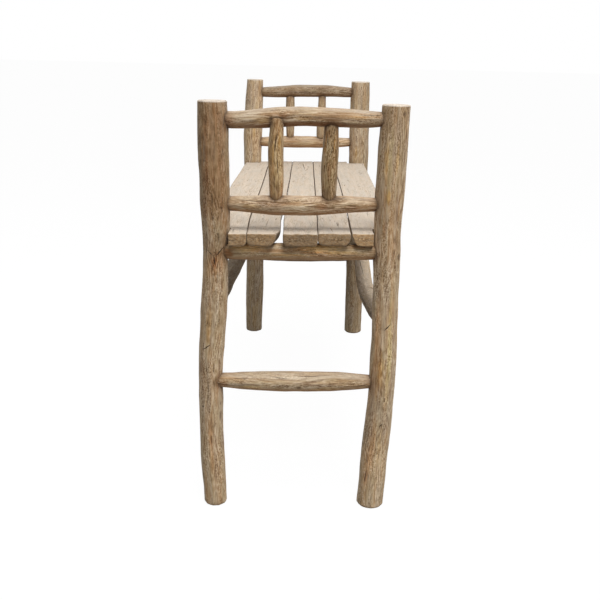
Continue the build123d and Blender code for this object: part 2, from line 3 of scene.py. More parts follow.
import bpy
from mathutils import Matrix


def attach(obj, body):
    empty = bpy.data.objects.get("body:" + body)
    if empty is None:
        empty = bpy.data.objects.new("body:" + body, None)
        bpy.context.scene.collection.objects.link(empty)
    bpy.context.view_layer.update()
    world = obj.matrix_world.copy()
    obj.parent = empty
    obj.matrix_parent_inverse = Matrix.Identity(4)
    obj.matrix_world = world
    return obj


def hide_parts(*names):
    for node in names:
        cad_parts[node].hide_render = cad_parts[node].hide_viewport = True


bl_info = {
    "name": "Rustic Log Bench",
    "version": (1, 0, 0),
    "blender": (4, 5, 0),
    "location": "View3D > Sidebar > Log Bench",
    "description": "Builds a bench of crooked peeled logs with a seat of waney planks",
    "category": "Add Mesh",
}

from math import atan2, cos, exp, hypot, pi, radians, sin, tau

import bmesh
import bpy
from bpy.props import FloatProperty, FloatVectorProperty, PointerProperty
from mathutils import Matrix, Vector, noise

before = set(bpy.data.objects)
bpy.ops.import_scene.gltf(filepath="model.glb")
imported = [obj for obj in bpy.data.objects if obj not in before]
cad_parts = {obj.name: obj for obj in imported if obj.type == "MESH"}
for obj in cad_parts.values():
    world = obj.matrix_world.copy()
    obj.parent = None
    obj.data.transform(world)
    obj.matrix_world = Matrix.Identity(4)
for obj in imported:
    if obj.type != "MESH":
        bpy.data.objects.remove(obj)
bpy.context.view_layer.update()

# Sizes in the tables below are in millimetres, as a joiner would write them. Meshes are
# shaped in millimetres too and are scaled to metres when they are finished.
MM = 0.001
UP = Vector((0, 0, 1))
ALONG = Vector((1, 0, 0))
ACROSS = Vector((0, 1, 0))

# ------------------------------------------------------------------ the bench's sizes
FRAME_HALF_SPACING = 513.0
FRAME_HALF_WIDTH = 145.0
HEIGHT = 704.0
RAIL_RISE = 5.0  # from the front end of a frame's rail to its back end
FOOT_LENGTH = 9.0  # a post's heart line starts this far above the floor
FOOT_ROUND = 6.0
TOP_LENGTH = 4.0  # and ends this far under the post's sawn top
TOP_ROUND = 2.5
TENON_BEYOND = 7.0  # a tenon's end lies this far past the heart of its post
TENON_ROOT = 13.0  # how far inside the post's skin a tenon starts to widen
SHOULDER = 9.0  # how far inside the post's skin it is as thick as the rail
SKIN_START = 7.0  # how far inside the post's skin the rail's own skin starts
SPINDLE_FOOT = 4.0  # a spindle ends this far above the heart of the lower rail
SPINDLE_HEAD = 6.0  # and this far below the heart of the arm rail
LAPPED_SPINDLE = "right_front_spindle"  # its head laps over the front of the arm rail
LAPPED_HEAD = 2.5  # and rises this far above the heart of the rail
# The domed ends of a spindle: how far each draws in, and over what length.
FOOT_DOME = (7.5, 6.0)
HEAD_DOME = (8.0, 9.0)
PLANK_THICKNESS = 21.5
BEARER_FLAT = 2.5  # depth of the flat that the planks lie on
BEARER_FLAT_SINK = 0.2  # the flat lies this far under the planks, so the two never touch
BEARER_FLAT_REACH = 128.0  # how far the flat runs each way from the middle
NOTCH_REACH = 90.0  # a notch is cut this far each way from its inner corner
NOTCH_ROUND = 2.0

# How fine the meshes are: points round a piece, and the distance between its rings.
POST_POINTS = 104
POST_SPACING = 2.9
FRAME_RAIL_POINTS = 80
SIDE_STRETCHER_POINTS = 76
RAIL_SPACING = 2.0
SPINDLE_POINTS = 68
SPINDLE_SPACING = 1.8
PLANK_POINTS = 124
PLANK_SPACING = 3.6

# Each log: thickness, then stations of share of its length, wander one way, wander the
# other way, and swell.
POST_SHAPES = {
    "right_front_post": (
        44.0,
        [
            (0.00, -4.5, 5.0, -4.0),
            (0.15, 2.0, 1.0, -2.5),
            (0.32, 4.5, -3.0, -2.5),
            (0.42, 2.5, -5.0, -0.5),
            (0.50, -1.0, -4.0, 1.0),
            (0.60, -4.5, -1.0, -2.0),
            (0.66, -5.0, 0.5, -2.5),
            (0.72, -5.0, 1.5, 2.0),
            (0.80, -3.5, 2.0, 5.0),
            (0.93, -1.5, 1.0, 6.0),
            (1.00, 0.5, 0.0, 4.0),
        ],
    ),
    "right_back_post": (
        45.0,
        [
            (0.00, -9.0, -4.0, 1.0),
            (0.12, -5.5, -2.0, 2.0),
            (0.25, -0.5, 1.5, 1.0),
            (0.40, 2.0, 4.0, -1.0),
            (0.55, 0.0, 3.5, -1.5),
            (0.70, -1.5, 1.0, 0.5),
            (0.85, 0.0, -1.0, 2.5),
            (1.00, 3.0, -2.0, 0.5),
        ],
    ),
    "left_front_post": (
        48.0,
        [
            (0.00, -4.5, 3.0, -1.5),
            (0.14, -5.0, -1.0, 0.0),
            (0.28, -5.0, -4.0, 0.5),
            (0.50, -0.5, -5.0, -1.5),
            (0.70, 4.0, -1.0, -1.5),
            (0.84, 3.0, 1.5, 1.5),
            (1.00, -1.0, 2.0, -5.0),
        ],
    ),
    "left_back_post": (
        50.0,
        [
            (0.00, 0.0, -5.0, -2.5),
            (0.13, -0.5, -2.0, -2.0),
            (0.30, -2.5, 2.0, -4.0),
            (0.50, -3.0, 4.0, -2.0),
            (0.72, -3.5, 2.0, 2.5),
            (0.90, -5.5, -1.0, 2.5),
            (1.00, -5.5, -2.0, -0.5),
        ],
    ),
}

# Rails of the end frames: height of the heart at mid-frame, thickness, tenon, stations.
FRAME_RAIL_SHAPES = {
    "right_arm_rail": (
        677.5,
        30.5,
        19.0,
        [
            (0.00, 0.0, 0.0, -5.0),
            (0.12, -1.5, 0.0, -3.5),
            (0.30, 1.5, -0.5, 1.3),
            (0.50, 4.5, -1.0, 0.0),
            (0.70, 3.0, 0.0, -0.5),
            (0.85, 0.5, 0.5, -4.0),
            (1.00, 0.0, 0.0, -11.0),
        ],
    ),
    "left_arm_rail": (
        672.5,
        30.5,
        19.0,
        [
            (0.00, 0.0, 0.0, -8.5),
            (0.20, 1.5, 1.0, -1.5),
            (0.45, 4.0, 2.0, 1.0),
            (0.70, 4.0, 1.0, -0.5),
            (0.88, 1.0, 0.0, -5.5),
            (1.00, 0.0, 0.0, -9.0),
        ],
    ),
    "right_lower_arm_rail": (
        541.5,
        31.0,
        18.0,
        [
            (0.00, 0.0, 0.0, -11.0),
            (0.13, 0.0, 0.0, -5.5),
            (0.32, -2.0, 0.5, 1.0),
            (0.50, -3.0, 1.0, 1.0),
            (0.75, -1.0, 0.0, -3.0),
            (1.00, 0.0, 0.0, -11.0),
        ],
    ),
    "left_lower_arm_rail": (
        540.5,
        31.0,
        18.0,
        [
            (0.00, 0.0, 0.0, -10.0),
            (0.25, 0.5, -1.0, -1.0),
            (0.50, 0.0, -1.5, 0.0),
            (0.75, 0.0, 0.0, -3.0),
            (1.00, 0.0, 0.0, -12.0),
        ],
    ),
    "right_seat_bearer": (
        462.5,
        29.5,
        20.0,
        [
            (0.00, 0.0, 0.0, -2.0),
            (0.25, 0.0, 0.5, 0.2),
            (0.60, 0.0, 0.0, 0.0),
            (0.85, 0.0, -0.5, -1.5),
            (1.00, 0.0, 0.0, -5.0),
        ],
    ),
    "left_seat_bearer": (
        452.0,
        29.5,
        20.0,
        [
            (0.00, 0.0, 0.0, -4.0),
            (0.30, 0.0, -1.0, 1.0),
            (0.70, 0.0, 0.5, 0.5),
            (1.00, 0.0, 0.0, -3.0),
        ],
    ),
    "right_stretcher": (
        233.5,
        33.0,
        18.0,
        [
            (0.00, 0.0, 5.0, -12.0),
            (0.10, -0.5, 4.0, -7.0),
            (0.28, -1.5, 2.5, 0.0),
            (0.50, -1.5, 1.0, 1.0),
            (0.75, -0.5, 0.0, -1.5),
            (1.00, 0.5, 0.0, -13.0),
        ],
    ),
    "left_stretcher": (
        220.0,
        33.0,
        18.0,
        [
            (0.00, 0.0, 0.0, -10.0),
            (0.30, 1.0, -1.5, -0.5),
            (0.65, 1.5, -1.0, -1.0),
            (1.00, 0.0, 0.0, -12.0),
        ],
    ),
}

# Side stretchers: heights at the left and at the right post, thickness, tenon, stations.
SIDE_STRETCHER_SHAPES = {
    "front_side_stretcher": (
        (345.0, 355.0),
        34.0,
        20.0,
        [
            (0.00, 0.0, 0.0, -7.0),
            (0.12, -3.0, 0.0, -1.0),
            (0.36, -11.0, 2.0, 2.0),
            (0.55, -14.0, 1.0, 1.0),
            (0.80, -2.0, 0.0, -2.0),
            (1.00, 0.0, 0.0, -7.0),
        ],
    ),
    "back_side_stretcher": (
        (341.0, 341.0),
        34.0,
        20.0,
        [
            (0.00, 0.0, 0.0, -8.0),
            (0.18, -9.0, -1.0, -3.0),
            (0.41, -30.0, -6.0, -1.0),
            (0.62, -42.0, -8.0, 0.0),
            (0.83, -26.0, -2.0, -1.0),
            (1.00, 0.0, 0.0, -7.0),
        ],
    ),
}

# Spindles: place across the frame, how far it stands out to +X, thickness, stations.
SPINDLE_SHAPES = {
    "right_front_spindle": (
        -42.0,
        2.5,
        25.0,
        [
            (0.00, 0.0, 0.0, -5.0),
            (0.25, 1.0, 0.0, -1.0),
            (0.60, -0.5, 1.0, 0.0),
            (0.85, 0.5, 4.0, -1.5),
            (1.00, 0.0, 7.0, -3.0),
        ],
    ),
    "right_back_spindle": (
        45.5,
        0.0,
        25.0,
        [
            (0.00, 0.0, 0.0, -2.5),
            (0.35, -1.5, 0.5, 1.0),
            (0.65, 0.0, 0.0, 0.0),
            (1.00, 0.5, 0.0, -4.0),
        ],
    ),
    "left_front_spindle": (
        -47.5,
        0.0,
        25.0,
        [
            (0.00, 0.5, 0.0, -6.5),
            (0.30, 0.0, -1.0, -3.0),
            (0.70, -0.5, 0.0, -1.5),
            (1.00, -1.0, 0.0, -4.0),
        ],
    ),
    "left_back_spindle": (
        37.0,
        0.0,
        25.0,
        [
            (0.00, 0.0, 0.0, -3.0),
            (0.40, -0.5, 1.0, -0.5),
            (0.75, 0.5, 0.0, -3.5),
            (1.00, 0.0, 0.0, -5.5),
        ],
    ),
}

# Planks: edges across the seat at the right end, at the three stations and at the left end,
# overhangs past the frames at the right and the left end, and the bark edge below each edge:
# how far it runs in, how far down it starts, and how much it slopes, from round to slanting.
PLANK_STATIONS = (380.0, 190.0, 0.0)
PLANK_SHAPES = {
    "seat_plank_1": {
        "front": (-162.5, -163.0, -163.5, -163.5, -163.0),
        "back": (-89.3, -93.6, -94.1, -94.5, -99.5),
        "overhangs": (29.0, 6.0),
        "wanes": ((7.0, 12.0, 0.0), (11.0, 13.0, 0.0)),
    },
    "seat_plank_2": {
        "front": (-88.3, -92.6, -93.1, -93.5, -98.5),
        "back": (-34.2, -37.6, -35.2, -35.0, -36.1),
        "overhangs": (27.0, 11.0),
        "wanes": ((14.0, 14.0, 0.0), (17.0, 4.0, 0.2)),
    },
    "seat_plank_3": {
        "front": (-29.4, -32.4, -34.2, -34.0, -35.1),
        "back": (27.0, 26.1, 24.8, 23.7, 20.2),
        "overhangs": (27.0, 12.0),
        "wanes": ((8.0, 11.5, 0.0), (8.0, 15.0, 0.0)),
    },
    "seat_plank_4": {
        "front": (28.0, 27.1, 25.8, 24.7, 21.2),
        "back": (80.7, 81.6, 82.1, 80.1, 76.0),
        "overhangs": (23.0, 12.0),
        "wanes": ((21.0, 14.5, 0.1), (13.0, 4.0, 0.1)),
    },
    "seat_plank_5": {
        "front": (83.2, 83.0, 83.1, 81.1, 77.0),
        "back": (157.5, 157.5, 157.5, 157.5, 158.5),
        "overhangs": (22.0, 10.0),
        "wanes": ((14.0, 3.0, 0.35), (6.0, 12.0, 0.0)),
    },
}
# The back corner of this plank's right end is gone.
BROKEN_CORNER = "seat_plank_2"
BROKEN_ALONG = 40.0
BROKEN_ACROSS = 7.5
# The inner corners of the notches round the posts: (end, shoulder along, tongue across).
PLANK_NOTCHES = {
    "seat_plank_1": ((1, 490.5, -118.2), (-1, -489.3, -122.8)),
    "seat_plank_5": ((1, 489.6, 118.2), (-1, -483.0, 113.0)),
}
LIP = 0.42  # how far a plank's edge reaches out into the seam beside it
# A plank's bark edges are slight, and start to grow this far from its right end. They are full
# after this much more of its length.
WANE_GROWTH_START = 34.0
WANE_GROWTH = 26.0
SLANTING_WANE = 0.15  # a bark edge that slopes this much is full all along
CORE_DEPTH = 11.0  # how far inside its edges a plank's core line lies
# Dirt and painted shade in a joint start to fade this far from the other log, and fade this fast.
SOIL_AND_SHADE_START = 0.3
SOIL_AND_SHADE_REACH = 2.9

# Knots: place along the log, angle round it, size, rise of the bump, depth of its middle.
KNOTS = {
    "right_front_post": [
        (560.0, 150.0, 7.0, 1.4, 0.8),
        (250.0, 200.0, 6.0, 1.0, 0.8),
    ],
    "right_back_post": [
        (682.0, 33.0, 2.8, 0.3, 0.8),
        (451.0, 56.0, 4.5, 0.8, 2.0),
        (330.0, 150.0, 7.0, 1.4, 1.0),
        (560.0, 215.0, 6.0, 1.2, 0.8),
    ],
    "left_front_post": [
        (520.0, 190.0, 8.0, 1.6, 1.0),
        (120.0, 110.0, 6.0, 1.0, 0.8),
    ],
    "left_back_post": [
        (600.0, 160.0, 8.0, 1.5, 1.0),
        (420.0, 250.0, 6.0, 1.0, 0.6),
    ],
    "right_arm_rail": [(190.0, 200.0, 6.0, 1.0, 0.8)],
    "right_lower_arm_rail": [(220.0, 160.0, 6.0, 1.0, 0.8)],
    "left_seat_bearer": [(180.0, 200.0, 5.0, 0.8, 0.6)],
    "right_stretcher": [
        (154.0, -18.0, 3.2, 0.4, 0.9),
        (200.0, 160.0, 5.0, 1.0, 0.8),
    ],
    "left_stretcher": [(110.0, 160.0, 5.0, 0.8, 0.6)],
    "front_side_stretcher": [
        (640.0, 200.0, 9.0, 1.8, 1.0),
        (800.0, 100.0, 7.0, 1.2, 0.8),
    ],
    "back_side_stretcher": [
        (330.0, 150.0, 9.0, 1.8, 1.0),
        (700.0, 60.0, 8.0, 1.4, 0.8),
    ],
    "right_front_spindle": [(92.0, 170.0, 5.0, 0.8, 0.6)],
    "right_back_spindle": [(70.0, 180.0, 5.0, 0.8, 0.6)],
}

# Cracks: place along the log, angle round it, lean from the grain, length, width.
CRACKS = {
    "right_front_post": [
        (285.5, 17.0, -54.0, 17.0, 1.7),
        (178.0, 33.0, -60.0, 8.0, 1.3),
        (453.3, -26.0, -44.0, 26.0, 1.8),
        (450.5, 22.9, 48.0, 18.0, 1.5),
        (437.0, 0.0, 4.0, 14.0, 2.2),
        (430.0, -14.0, -16.0, 20.0, 0.8),
        (428.0, 14.0, 14.0, 22.0, 0.8),
        (663.0, -52.0, -16.0, 26.0, 1.4),
        (640.0, 60.0, 2.0, 60.0, 0.7),
        (420.0, 175.0, -3.0, 130.0, 1.2),
    ],
    "right_back_post": [
        (332.5, 9.0, 42.0, 17.0, 1.8),
        (155.5, 8.0, 44.0, 10.0, 1.6),
        (54.0, -36.0, 4.0, 24.0, 1.5),
        (54.0, -22.0, 2.0, 14.0, 0.9),
        (600.0, 185.0, 2.0, 150.0, 1.2),
    ],
    "left_front_post": [
        (600.0, 5.0, 3.0, 70.0, 0.9),
        (380.0, 170.0, -2.0, 140.0, 1.2),
    ],
    "left_back_post": [
        (580.0, -30.0, -3.0, 90.0, 0.9),
        (300.0, 200.0, 3.0, 160.0, 1.2),
    ],
    "right_arm_rail": [(250.0, 30.0, 4.0, 36.0, 0.7), (110.0, 180.0, 0.0, 90.0, 0.9)],
    "right_lower_arm_rail": [(60.0, 30.0, -4.0, 34.0, 0.7)],
    "right_seat_bearer": [(215.0, -14.0, -3.0, 50.0, 0.7)],
    "right_stretcher": [(180.0, 52.0, 3.0, 60.0, 0.9), (120.0, 40.0, -8.0, 34.0, 0.8)],
    "right_front_spindle": [(106.0, 0.0, 5.0, 40.0, 1.2), (66.0, 14.0, -3.0, 40.0, 1.0)],
    "right_back_spindle": [(92.0, 10.0, 14.0, 26.0, 0.9), (104.0, -30.0, 0.0, 26.0, 1.0)],
    "front_side_stretcher": [(560.0, 80.0, 2.0, 200.0, 1.2)],
    "back_side_stretcher": [(500.0, 110.0, -2.0, 220.0, 1.2)],
}

# Marks: place along the log, angle round it, length, width, kind, strength.
MARKS = {
    "right_front_post": [
        (497.0, 10.0, 52.0, 34.0, "pale", 0.75),
        (472.0, -10.0, 40.0, 40.0, "pale", 0.4),
        (478.0, -62.0, 40.0, 10.0, "soil_and_shade", 0.5),
        (436.0, -1.0, 30.0, 11.0, "rust", 0.85),
        (430.0, -20.0, 44.0, 20.0, "amber", 0.55),
        (426.0, 18.0, 50.0, 18.0, "amber", 0.5),
        (449.0, -20.0, 14.0, 16.0, "rust", 0.6),
        (470.0, -76.0, 24.0, 14.0, "soil_and_shade", 0.9),
        (521.0, 42.0, 34.0, 12.0, "rust", 0.5),
        (585.0, 20.0, 90.0, 7.0, "rust", 0.5),
        (600.0, -25.0, 110.0, 6.0, "rust", 0.45),
        (663.0, -60.0, 34.0, 12.0, "soil_and_shade", 0.5),
        (324.0, 13.0, 80.0, 13.0, "ochre", 0.55),
        (350.0, -20.0, 60.0, 6.0, "pale", 0.4),
        (223.0, -46.0, 30.0, 12.0, "rust", 0.7),
        (159.5, -55.0, 18.0, 6.5, "soil_and_shade", 0.75),
        (100.0, 0.0, 120.0, 10.0, "amber", 0.5),
        (600.0, 0.0, 260.0, 60.0, "amber", 0.5),
        (600.0, 0.0, 300.0, 90.0, "shade", 0.8),
        (60.0, 0.0, 160.0, 60.0, "light", 0.35),
    ],
    "right_back_post": [
        (607.0, -27.0, 70.0, 8.0, "ochre", 0.7),
        (610.0, 17.0, 64.0, 6.0, "ochre", 0.6),
        (550.0, -9.0, 26.0, 9.0, "ochre", 0.8),
        (499.0, -16.0, 40.0, 7.0, "rust", 0.6),
        (510.0, -43.0, 26.0, 7.0, "rust", 0.6),
        (520.0, 30.0, 60.0, 8.0, "soil_and_shade", 0.22),
        (451.0, 60.0, 12.0, 7.0, "soil_and_shade", 0.7),
        (257.0, -14.0, 80.0, 12.0, "ochre", 0.75),
        (308.0, -41.0, 44.0, 6.0, "pale", 0.5),
        (53.0, -34.0, 34.0, 9.0, "rust", 0.6),
        (120.0, 10.0, 90.0, 7.0, "ochre", 0.4),
        (300.0, -34.0, 210.0, 16.0, "amber", 0.6),
        (290.0, 22.0, 230.0, 11.0, "olive", 0.8),
        (110.0, -24.0, 150.0, 16.0, "amber", 0.5),
        (60.0, 0.0, 170.0, 70.0, "light", 0.8),
        (600.0, -12.0, 170.0, 9.0, "olive", 0.5),
    ],
    "right_front_spindle": [
        (75.0, 0.0, 220.0, 60.0, "honey", 1.0),
        (38.0, -14.0, 26.0, 5.5, "soil_and_shade", 0.75),
        (30.0, 16.0, 30.0, 7.0, "soil_and_shade", 0.7),
        (104.0, 28.0, 26.0, 5.0, "ochre", 0.8),
        (84.0, -20.0, 44.0, 5.0, "ochre", 0.5),
        (122.0, 8.0, 18.0, 5.0, "pale", 0.6),
        (60.0, 32.0, 40.0, 4.0, "pale", 0.35),
    ],
    "right_back_spindle": [
        (75.0, 0.0, 220.0, 60.0, "honey", 1.0),
        (115.0, -18.0, 18.0, 8.0, "rust", 0.7),
        (57.0, -2.0, 36.0, 9.0, "rust", 0.75),
        (24.0, -11.0, 18.0, 9.0, "soil_and_shade", 0.55),
        (102.0, 28.0, 30.0, 4.0, "ochre", 0.8),
        (100.0, -40.0, 40.0, 5.0, "ochre", 0.6),
        (70.0, 36.0, 30.0, 5.0, "rust", 0.5),
    ],
    "right_arm_rail": [
        (81.0, -10.0, 34.0, 14.0, "ochre", 0.6),
        (113.0, 10.0, 20.0, 9.0, "rust", 0.6),
        (147.0, -8.0, 40.0, 9.0, "ochre", 0.5),
        (190.0, -22.0, 30.0, 10.0, "rust", 0.4),
        (235.0, 8.0, 36.0, 9.0, "ochre", 0.4),
        (26.0, 5.0, 24.0, 22.0, "rust", 0.5),
        (140.0, -50.0, 240.0, 14.0, "rust", 0.7),
        (60.0, 30.0, 60.0, 6.0, "pale", 0.5),
        (170.0, 26.0, 70.0, 6.0, "pale", 0.5),
    ],
    "right_lower_arm_rail": [
        (80.0, 28.0, 26.0, 13.0, "soil_and_shade", 0.6),
        (116.0, 38.0, 20.0, 9.0, "soil_and_shade", 0.5),
        (197.0, 50.0, 26.0, 12.0, "soil_and_shade", 0.6),
        (174.0, 2.0, 26.0, 12.0, "rust", 0.7),
        (150.0, 16.0, 24.0, 8.0, "pale", 0.6),
        (60.0, -8.0, 40.0, 10.0, "ochre", 0.5),
        (226.0, -12.0, 44.0, 10.0, "rust", 0.5),
    ],
    "right_seat_bearer": [
        (23.0, -8.0, 20.0, 16.0, "rust", 1.0),
        (120.0, -16.0, 90.0, 6.0, "ochre", 0.6),
        (205.0, 2.0, 80.0, 6.0, "ochre", 0.6),
        # painted light: these lift the top of the bearer out of the shadow under the planks' overhang
        (56.0, 48.0, 66.0, 26.0, "bright", 0.9),
        (170.0, 48.0, 84.0, 26.0, "bright", 0.9),
    ],
    "right_stretcher": [
        (70.0, -26.0, 50.0, 8.0, "ochre", 0.6),
        (200.0, -30.0, 70.0, 9.0, "ochre", 0.5),
        (24.0, -8.0, 22.0, 14.0, "rust", 0.6),
        (150.0, 40.0, 120.0, 8.0, "pale", 0.3),
    ],
    "left_front_post": [(560.0, -12.0, 60.0, 8.0, "ochre", 0.5), (500.0, 16.0, 30.0, 12.0, "pale", 0.4)],
    "left_back_post": [
        (560.0, 10.0, 80.0, 9.0, "pale", 0.4),
        (510.0, -16.0, 40.0, 9.0, "ochre", 0.5),
        # painted shade: the seat's shadow on this far leg
        (150.0, 0.0, 380.0, 90.0, "shade", 1.0),
    ],
}
# What each kind of mark does to the colour of the wood, or to its painted light and shade: it is multiplied
# by this.
MARK_TINTS = {
    "pale": (1.30, 1.40, 1.52),
    # painted light, against a shadow
    "bright": (2.0, 1.75, 1.3),
    "honey": (1.04, 0.95, 0.76),
    "light": (1.30, 1.28, 1.25),
    # darker; on the left back post it is painted shade, the seat's shadow
    "shade": (0.82, 0.81, 0.80),
    "olive": (1.12, 1.12, 0.82),
    "amber": (1.12, 0.90, 0.72),
    "ochre": (1.16, 0.97, 0.60),
    "rust": (0.72, 0.53, 0.40),
    "soil_and_shade": (0.34, 0.27, 0.23),
}

# How light each piece of wood is beside the others of its kind, how warm, how much the weather
# has bleached its top, and how strong its grain is.
SHADES = {
    "right_front_post": (1.12, 0.55, 0.25, 1.15),
    "right_back_post": (1.10, 0.50, 0.25, 1.2),
    "left_front_post": (1.20, 0.25, 0.3, 1.2),
    "left_back_post": (1.02, 0.30, 0.3, 1.2),
    "right_arm_rail": (0.93, 0.50, 0.7, 1.5),
    "left_arm_rail": (0.72, 0.60, 0.6, 1.4),
    "right_lower_arm_rail": (1.05, 0.60, 0.4, 1.4),
    "left_lower_arm_rail": (1.20, 0.50, 0.4, 1.2),
    "right_seat_bearer": (1.12, 0.90, 0.0, 0.8),
    "left_seat_bearer": (1.00, 0.60, 0.1, 1.0),
    "right_stretcher": (1.18, 0.40, 0.4, 1.2),
    "left_stretcher": (1.00, 0.40, 0.5, 1.2),
    "front_side_stretcher": (0.95, 0.10, 0.5, 1.2),
    "back_side_stretcher": (1.50, 0.00, 0.8, 1.2),
    "right_front_spindle": (1.02, 0.80, 0.2, 1.25),
    "right_back_spindle": (0.69, 0.85, 0.2, 1.6),
    "left_front_spindle": (1.00, 0.65, 0.2, 1.2),
    "left_back_spindle": (0.95, 0.60, 0.2, 1.2),
}

# The side stretchers get painted shade on the side towards the middle: that side's sign, how much.
PAINTED_SHADE_SIDES = {
    "front_side_stretcher": (1.0, 0.65),
    "back_side_stretcher": (-1.0, 0.6),
}

# Where hands have darkened a post: from this height, fully at that height, and how much.
HANDLED = {
    "right_front_post": (380.0, 560.0, 1.0),
    "right_back_post": (380.0, 640.0, 0.5),
}

# Each plank: its pith across and above, its shade and its sawn end's, and its checks (along,
# across, lean, length, width).
PLANK_GRAIN = {
    "seat_plank_1": ((-120.0, -46.0), (1.06, 1.15), [(380.0, -132.0, 2.0, 120.0, 0.9)]),
    "seat_plank_2": ((-66.0, -30.0), (0.99, 1.10), [(440.0, -58.0, -2.0, 80.0, 0.8)]),
    "seat_plank_3": (
        (4.0, -60.0),
        (1.02, 0.85),
        [
            (-400.0, -6.0, 3.0, 150.0, 1.6),
            (-330.0, 2.0, -9.0, 60.0, 1.2),
            (505.0, 6.0, 12.0, 30.0, 0.8),
        ],
    ),
    "seat_plank_4": ((58.0, -34.0), (0.98, 0.98), [(500.0, 52.0, 6.0, 40.0, 0.9)]),
    "seat_plank_5": ((130.0, -52.0), (1.01, 1.48), [(300.0, 122.0, -2.0, 140.0, 0.9)]),
}


# ------------------------------------------------------------------ settings
def colour(name, description, default):
    """A colour setting, in linear light."""
    return FloatVectorProperty(
        name=name, description=description, subtype="COLOR", size=3, min=0.0, max=1.0, default=default
    )


def length(name, description, default):
    """A length setting, in metres."""
    return FloatProperty(name=name, description=description, unit="LENGTH", min=0.0, default=default)


class BENCH_PG_log_surface(bpy.types.PropertyGroup):
    """How uneven the peeled logs are"""

    lumps: length("Lumps", "Height of the broad lumps on a log", 0.0011)
    facets: FloatProperty(
        name="Knife Facets",
        description="How flat the strokes of the drawknife are, from round to flat",
        subtype="FACTOR",
        min=0.0,
        max=1.0,
        default=0.65,
    )
    ridges: length("Grain Ridges", "Height of the raised grain", 0.00028)
    fibre: length("Fibre Depth", "Depth of the fine fibres in the finish", 0.0008)


class BENCH_PG_seat_surface(bpy.types.PropertyGroup):
    """How worn the seat planks are"""

    worn_edge: length("Worn Edge", "Radius of the worn edges of a plank", 0.0026)
    waviness: length("Edge Waviness", "How far the bark edges wander", 0.0007)
    hollows: length("Hollows", "Depth of the hollows in the top", 0.0006)
    fibre: length("Fibre Depth", "Depth of the fine fibres in the finish", 0.0006)


class BENCH_PG_log_colours(bpy.types.PropertyGroup):
    """Colours of the peeled logs"""

    pale: colour("Pale", "Raised and worn grain", (0.53, 0.42, 0.295))
    middle: colour("Middle", "Most of the wood", (0.36, 0.262, 0.148))
    dark: colour("Dark", "Hollows in the grain", (0.155, 0.092, 0.048))
    warm: colour("Warm", "Fresh, reddish patches", (0.40, 0.222, 0.10))
    silver: colour("Silver", "Weathered, grey patches", (0.36, 0.29, 0.215))
    bleached: colour("Bleached", "Tops that lie open to the weather", (0.37, 0.312, 0.25))
    # undersides: browner where the weather spares them, and darker as painted shade
    sheltered_and_shaded: colour("Sheltered", "Undersides that the weather spares", (0.34, 0.18, 0.08))
    handled: colour("Handled", "What years of hands make of the wood's own colour", (0.55, 0.49, 0.42))
    # soil also paints the shade in the joints
    soil_and_shade: colour("Soil", "Dirt in joints, knots and cracks", (0.058, 0.033, 0.017))
    sawn: colour("Sawn End", "Sawn tops of the posts", (0.57, 0.525, 0.465))


class BENCH_PG_seat_colours(bpy.types.PropertyGroup):
    """Colours of the seat planks"""

    pale: colour("Pale", "Raised and worn grain", (0.56, 0.485, 0.395))
    middle: colour("Middle", "Most of the wood", (0.46, 0.385, 0.305))
    dark: colour("Dark", "Hollows in the grain", (0.29, 0.225, 0.16))
    warm: colour("Warm", "Reddish patches", (0.48, 0.38, 0.285))
    silver: colour("Silver", "Weathered, grey patches", (0.42, 0.375, 0.32))
    soil_and_shade: colour("Soil", "Dirt in gaps and cracks", (0.07, 0.045, 0.028))
    sawn: colour("Sawn End", "Sawn ends of the planks", (0.255, 0.170, 0.088))


class BENCH_PG_stage(bpy.types.PropertyGroup):
    """The floor and the lamps"""

    floor: colour("Floor", "Colour of the floor in the light that it throws back", (0.35, 0.35, 0.35))
    key: FloatProperty(
        name="Key Lamp", description="Power of the lamp high over the camera", unit="POWER", default=85.0
    )
    overhead: FloatProperty(
        name="Overhead Lamp", description="Power of the lamp over the seat", unit="POWER", default=45.0
    )
    side: FloatProperty(
        name="Side Lamp", description="Power of the lamp at the back of the seat", unit="POWER", default=20.0
    )
    sky: FloatProperty(
        name="Surroundings", description="Light from all round", min=0.0, max=2.0, default=0.28
    )


class BENCH_PG_settings(bpy.types.PropertyGroup):
    """Everything about the bench that a user may change"""

    log_surface: PointerProperty(type=BENCH_PG_log_surface)
    seat_surface: PointerProperty(type=BENCH_PG_seat_surface)
    log_colours: PointerProperty(type=BENCH_PG_log_colours)
    seat_colours: PointerProperty(type=BENCH_PG_seat_colours)
    stage: PointerProperty(type=BENCH_PG_stage)


# ------------------------------------------------------------------ heart lines of the logs
def smooth_values(stations, share):
    """The values of a list of stations at a share of the length, on a smooth curve."""
    last = len(stations) - 1
    k = max(i for i in range(last) if stations[i][0] <= share or i == 0)
    before, this, following, after = (stations[min(max(k + i, 0), last)] for i in (-1, 0, 1, 2))
    span = following[0] - this[0]
    u = (share - this[0]) / span
    values = []
    for i in (1, 2, 3):
        rise_in = (following[i] - before[i]) / (following[0] - before[0]) * span
        rise_out = (after[i] - this[i]) / (after[0] - this[0]) * span
        values.append(
            (2 * u**3 - 3 * u**2 + 1) * this[i]
            + (u**3 - 2 * u**2 + u) * rise_in
            + (3 * u**2 - 2 * u**3) * following[i]
            + (u**3 - u**2) * rise_out
        )
    return values


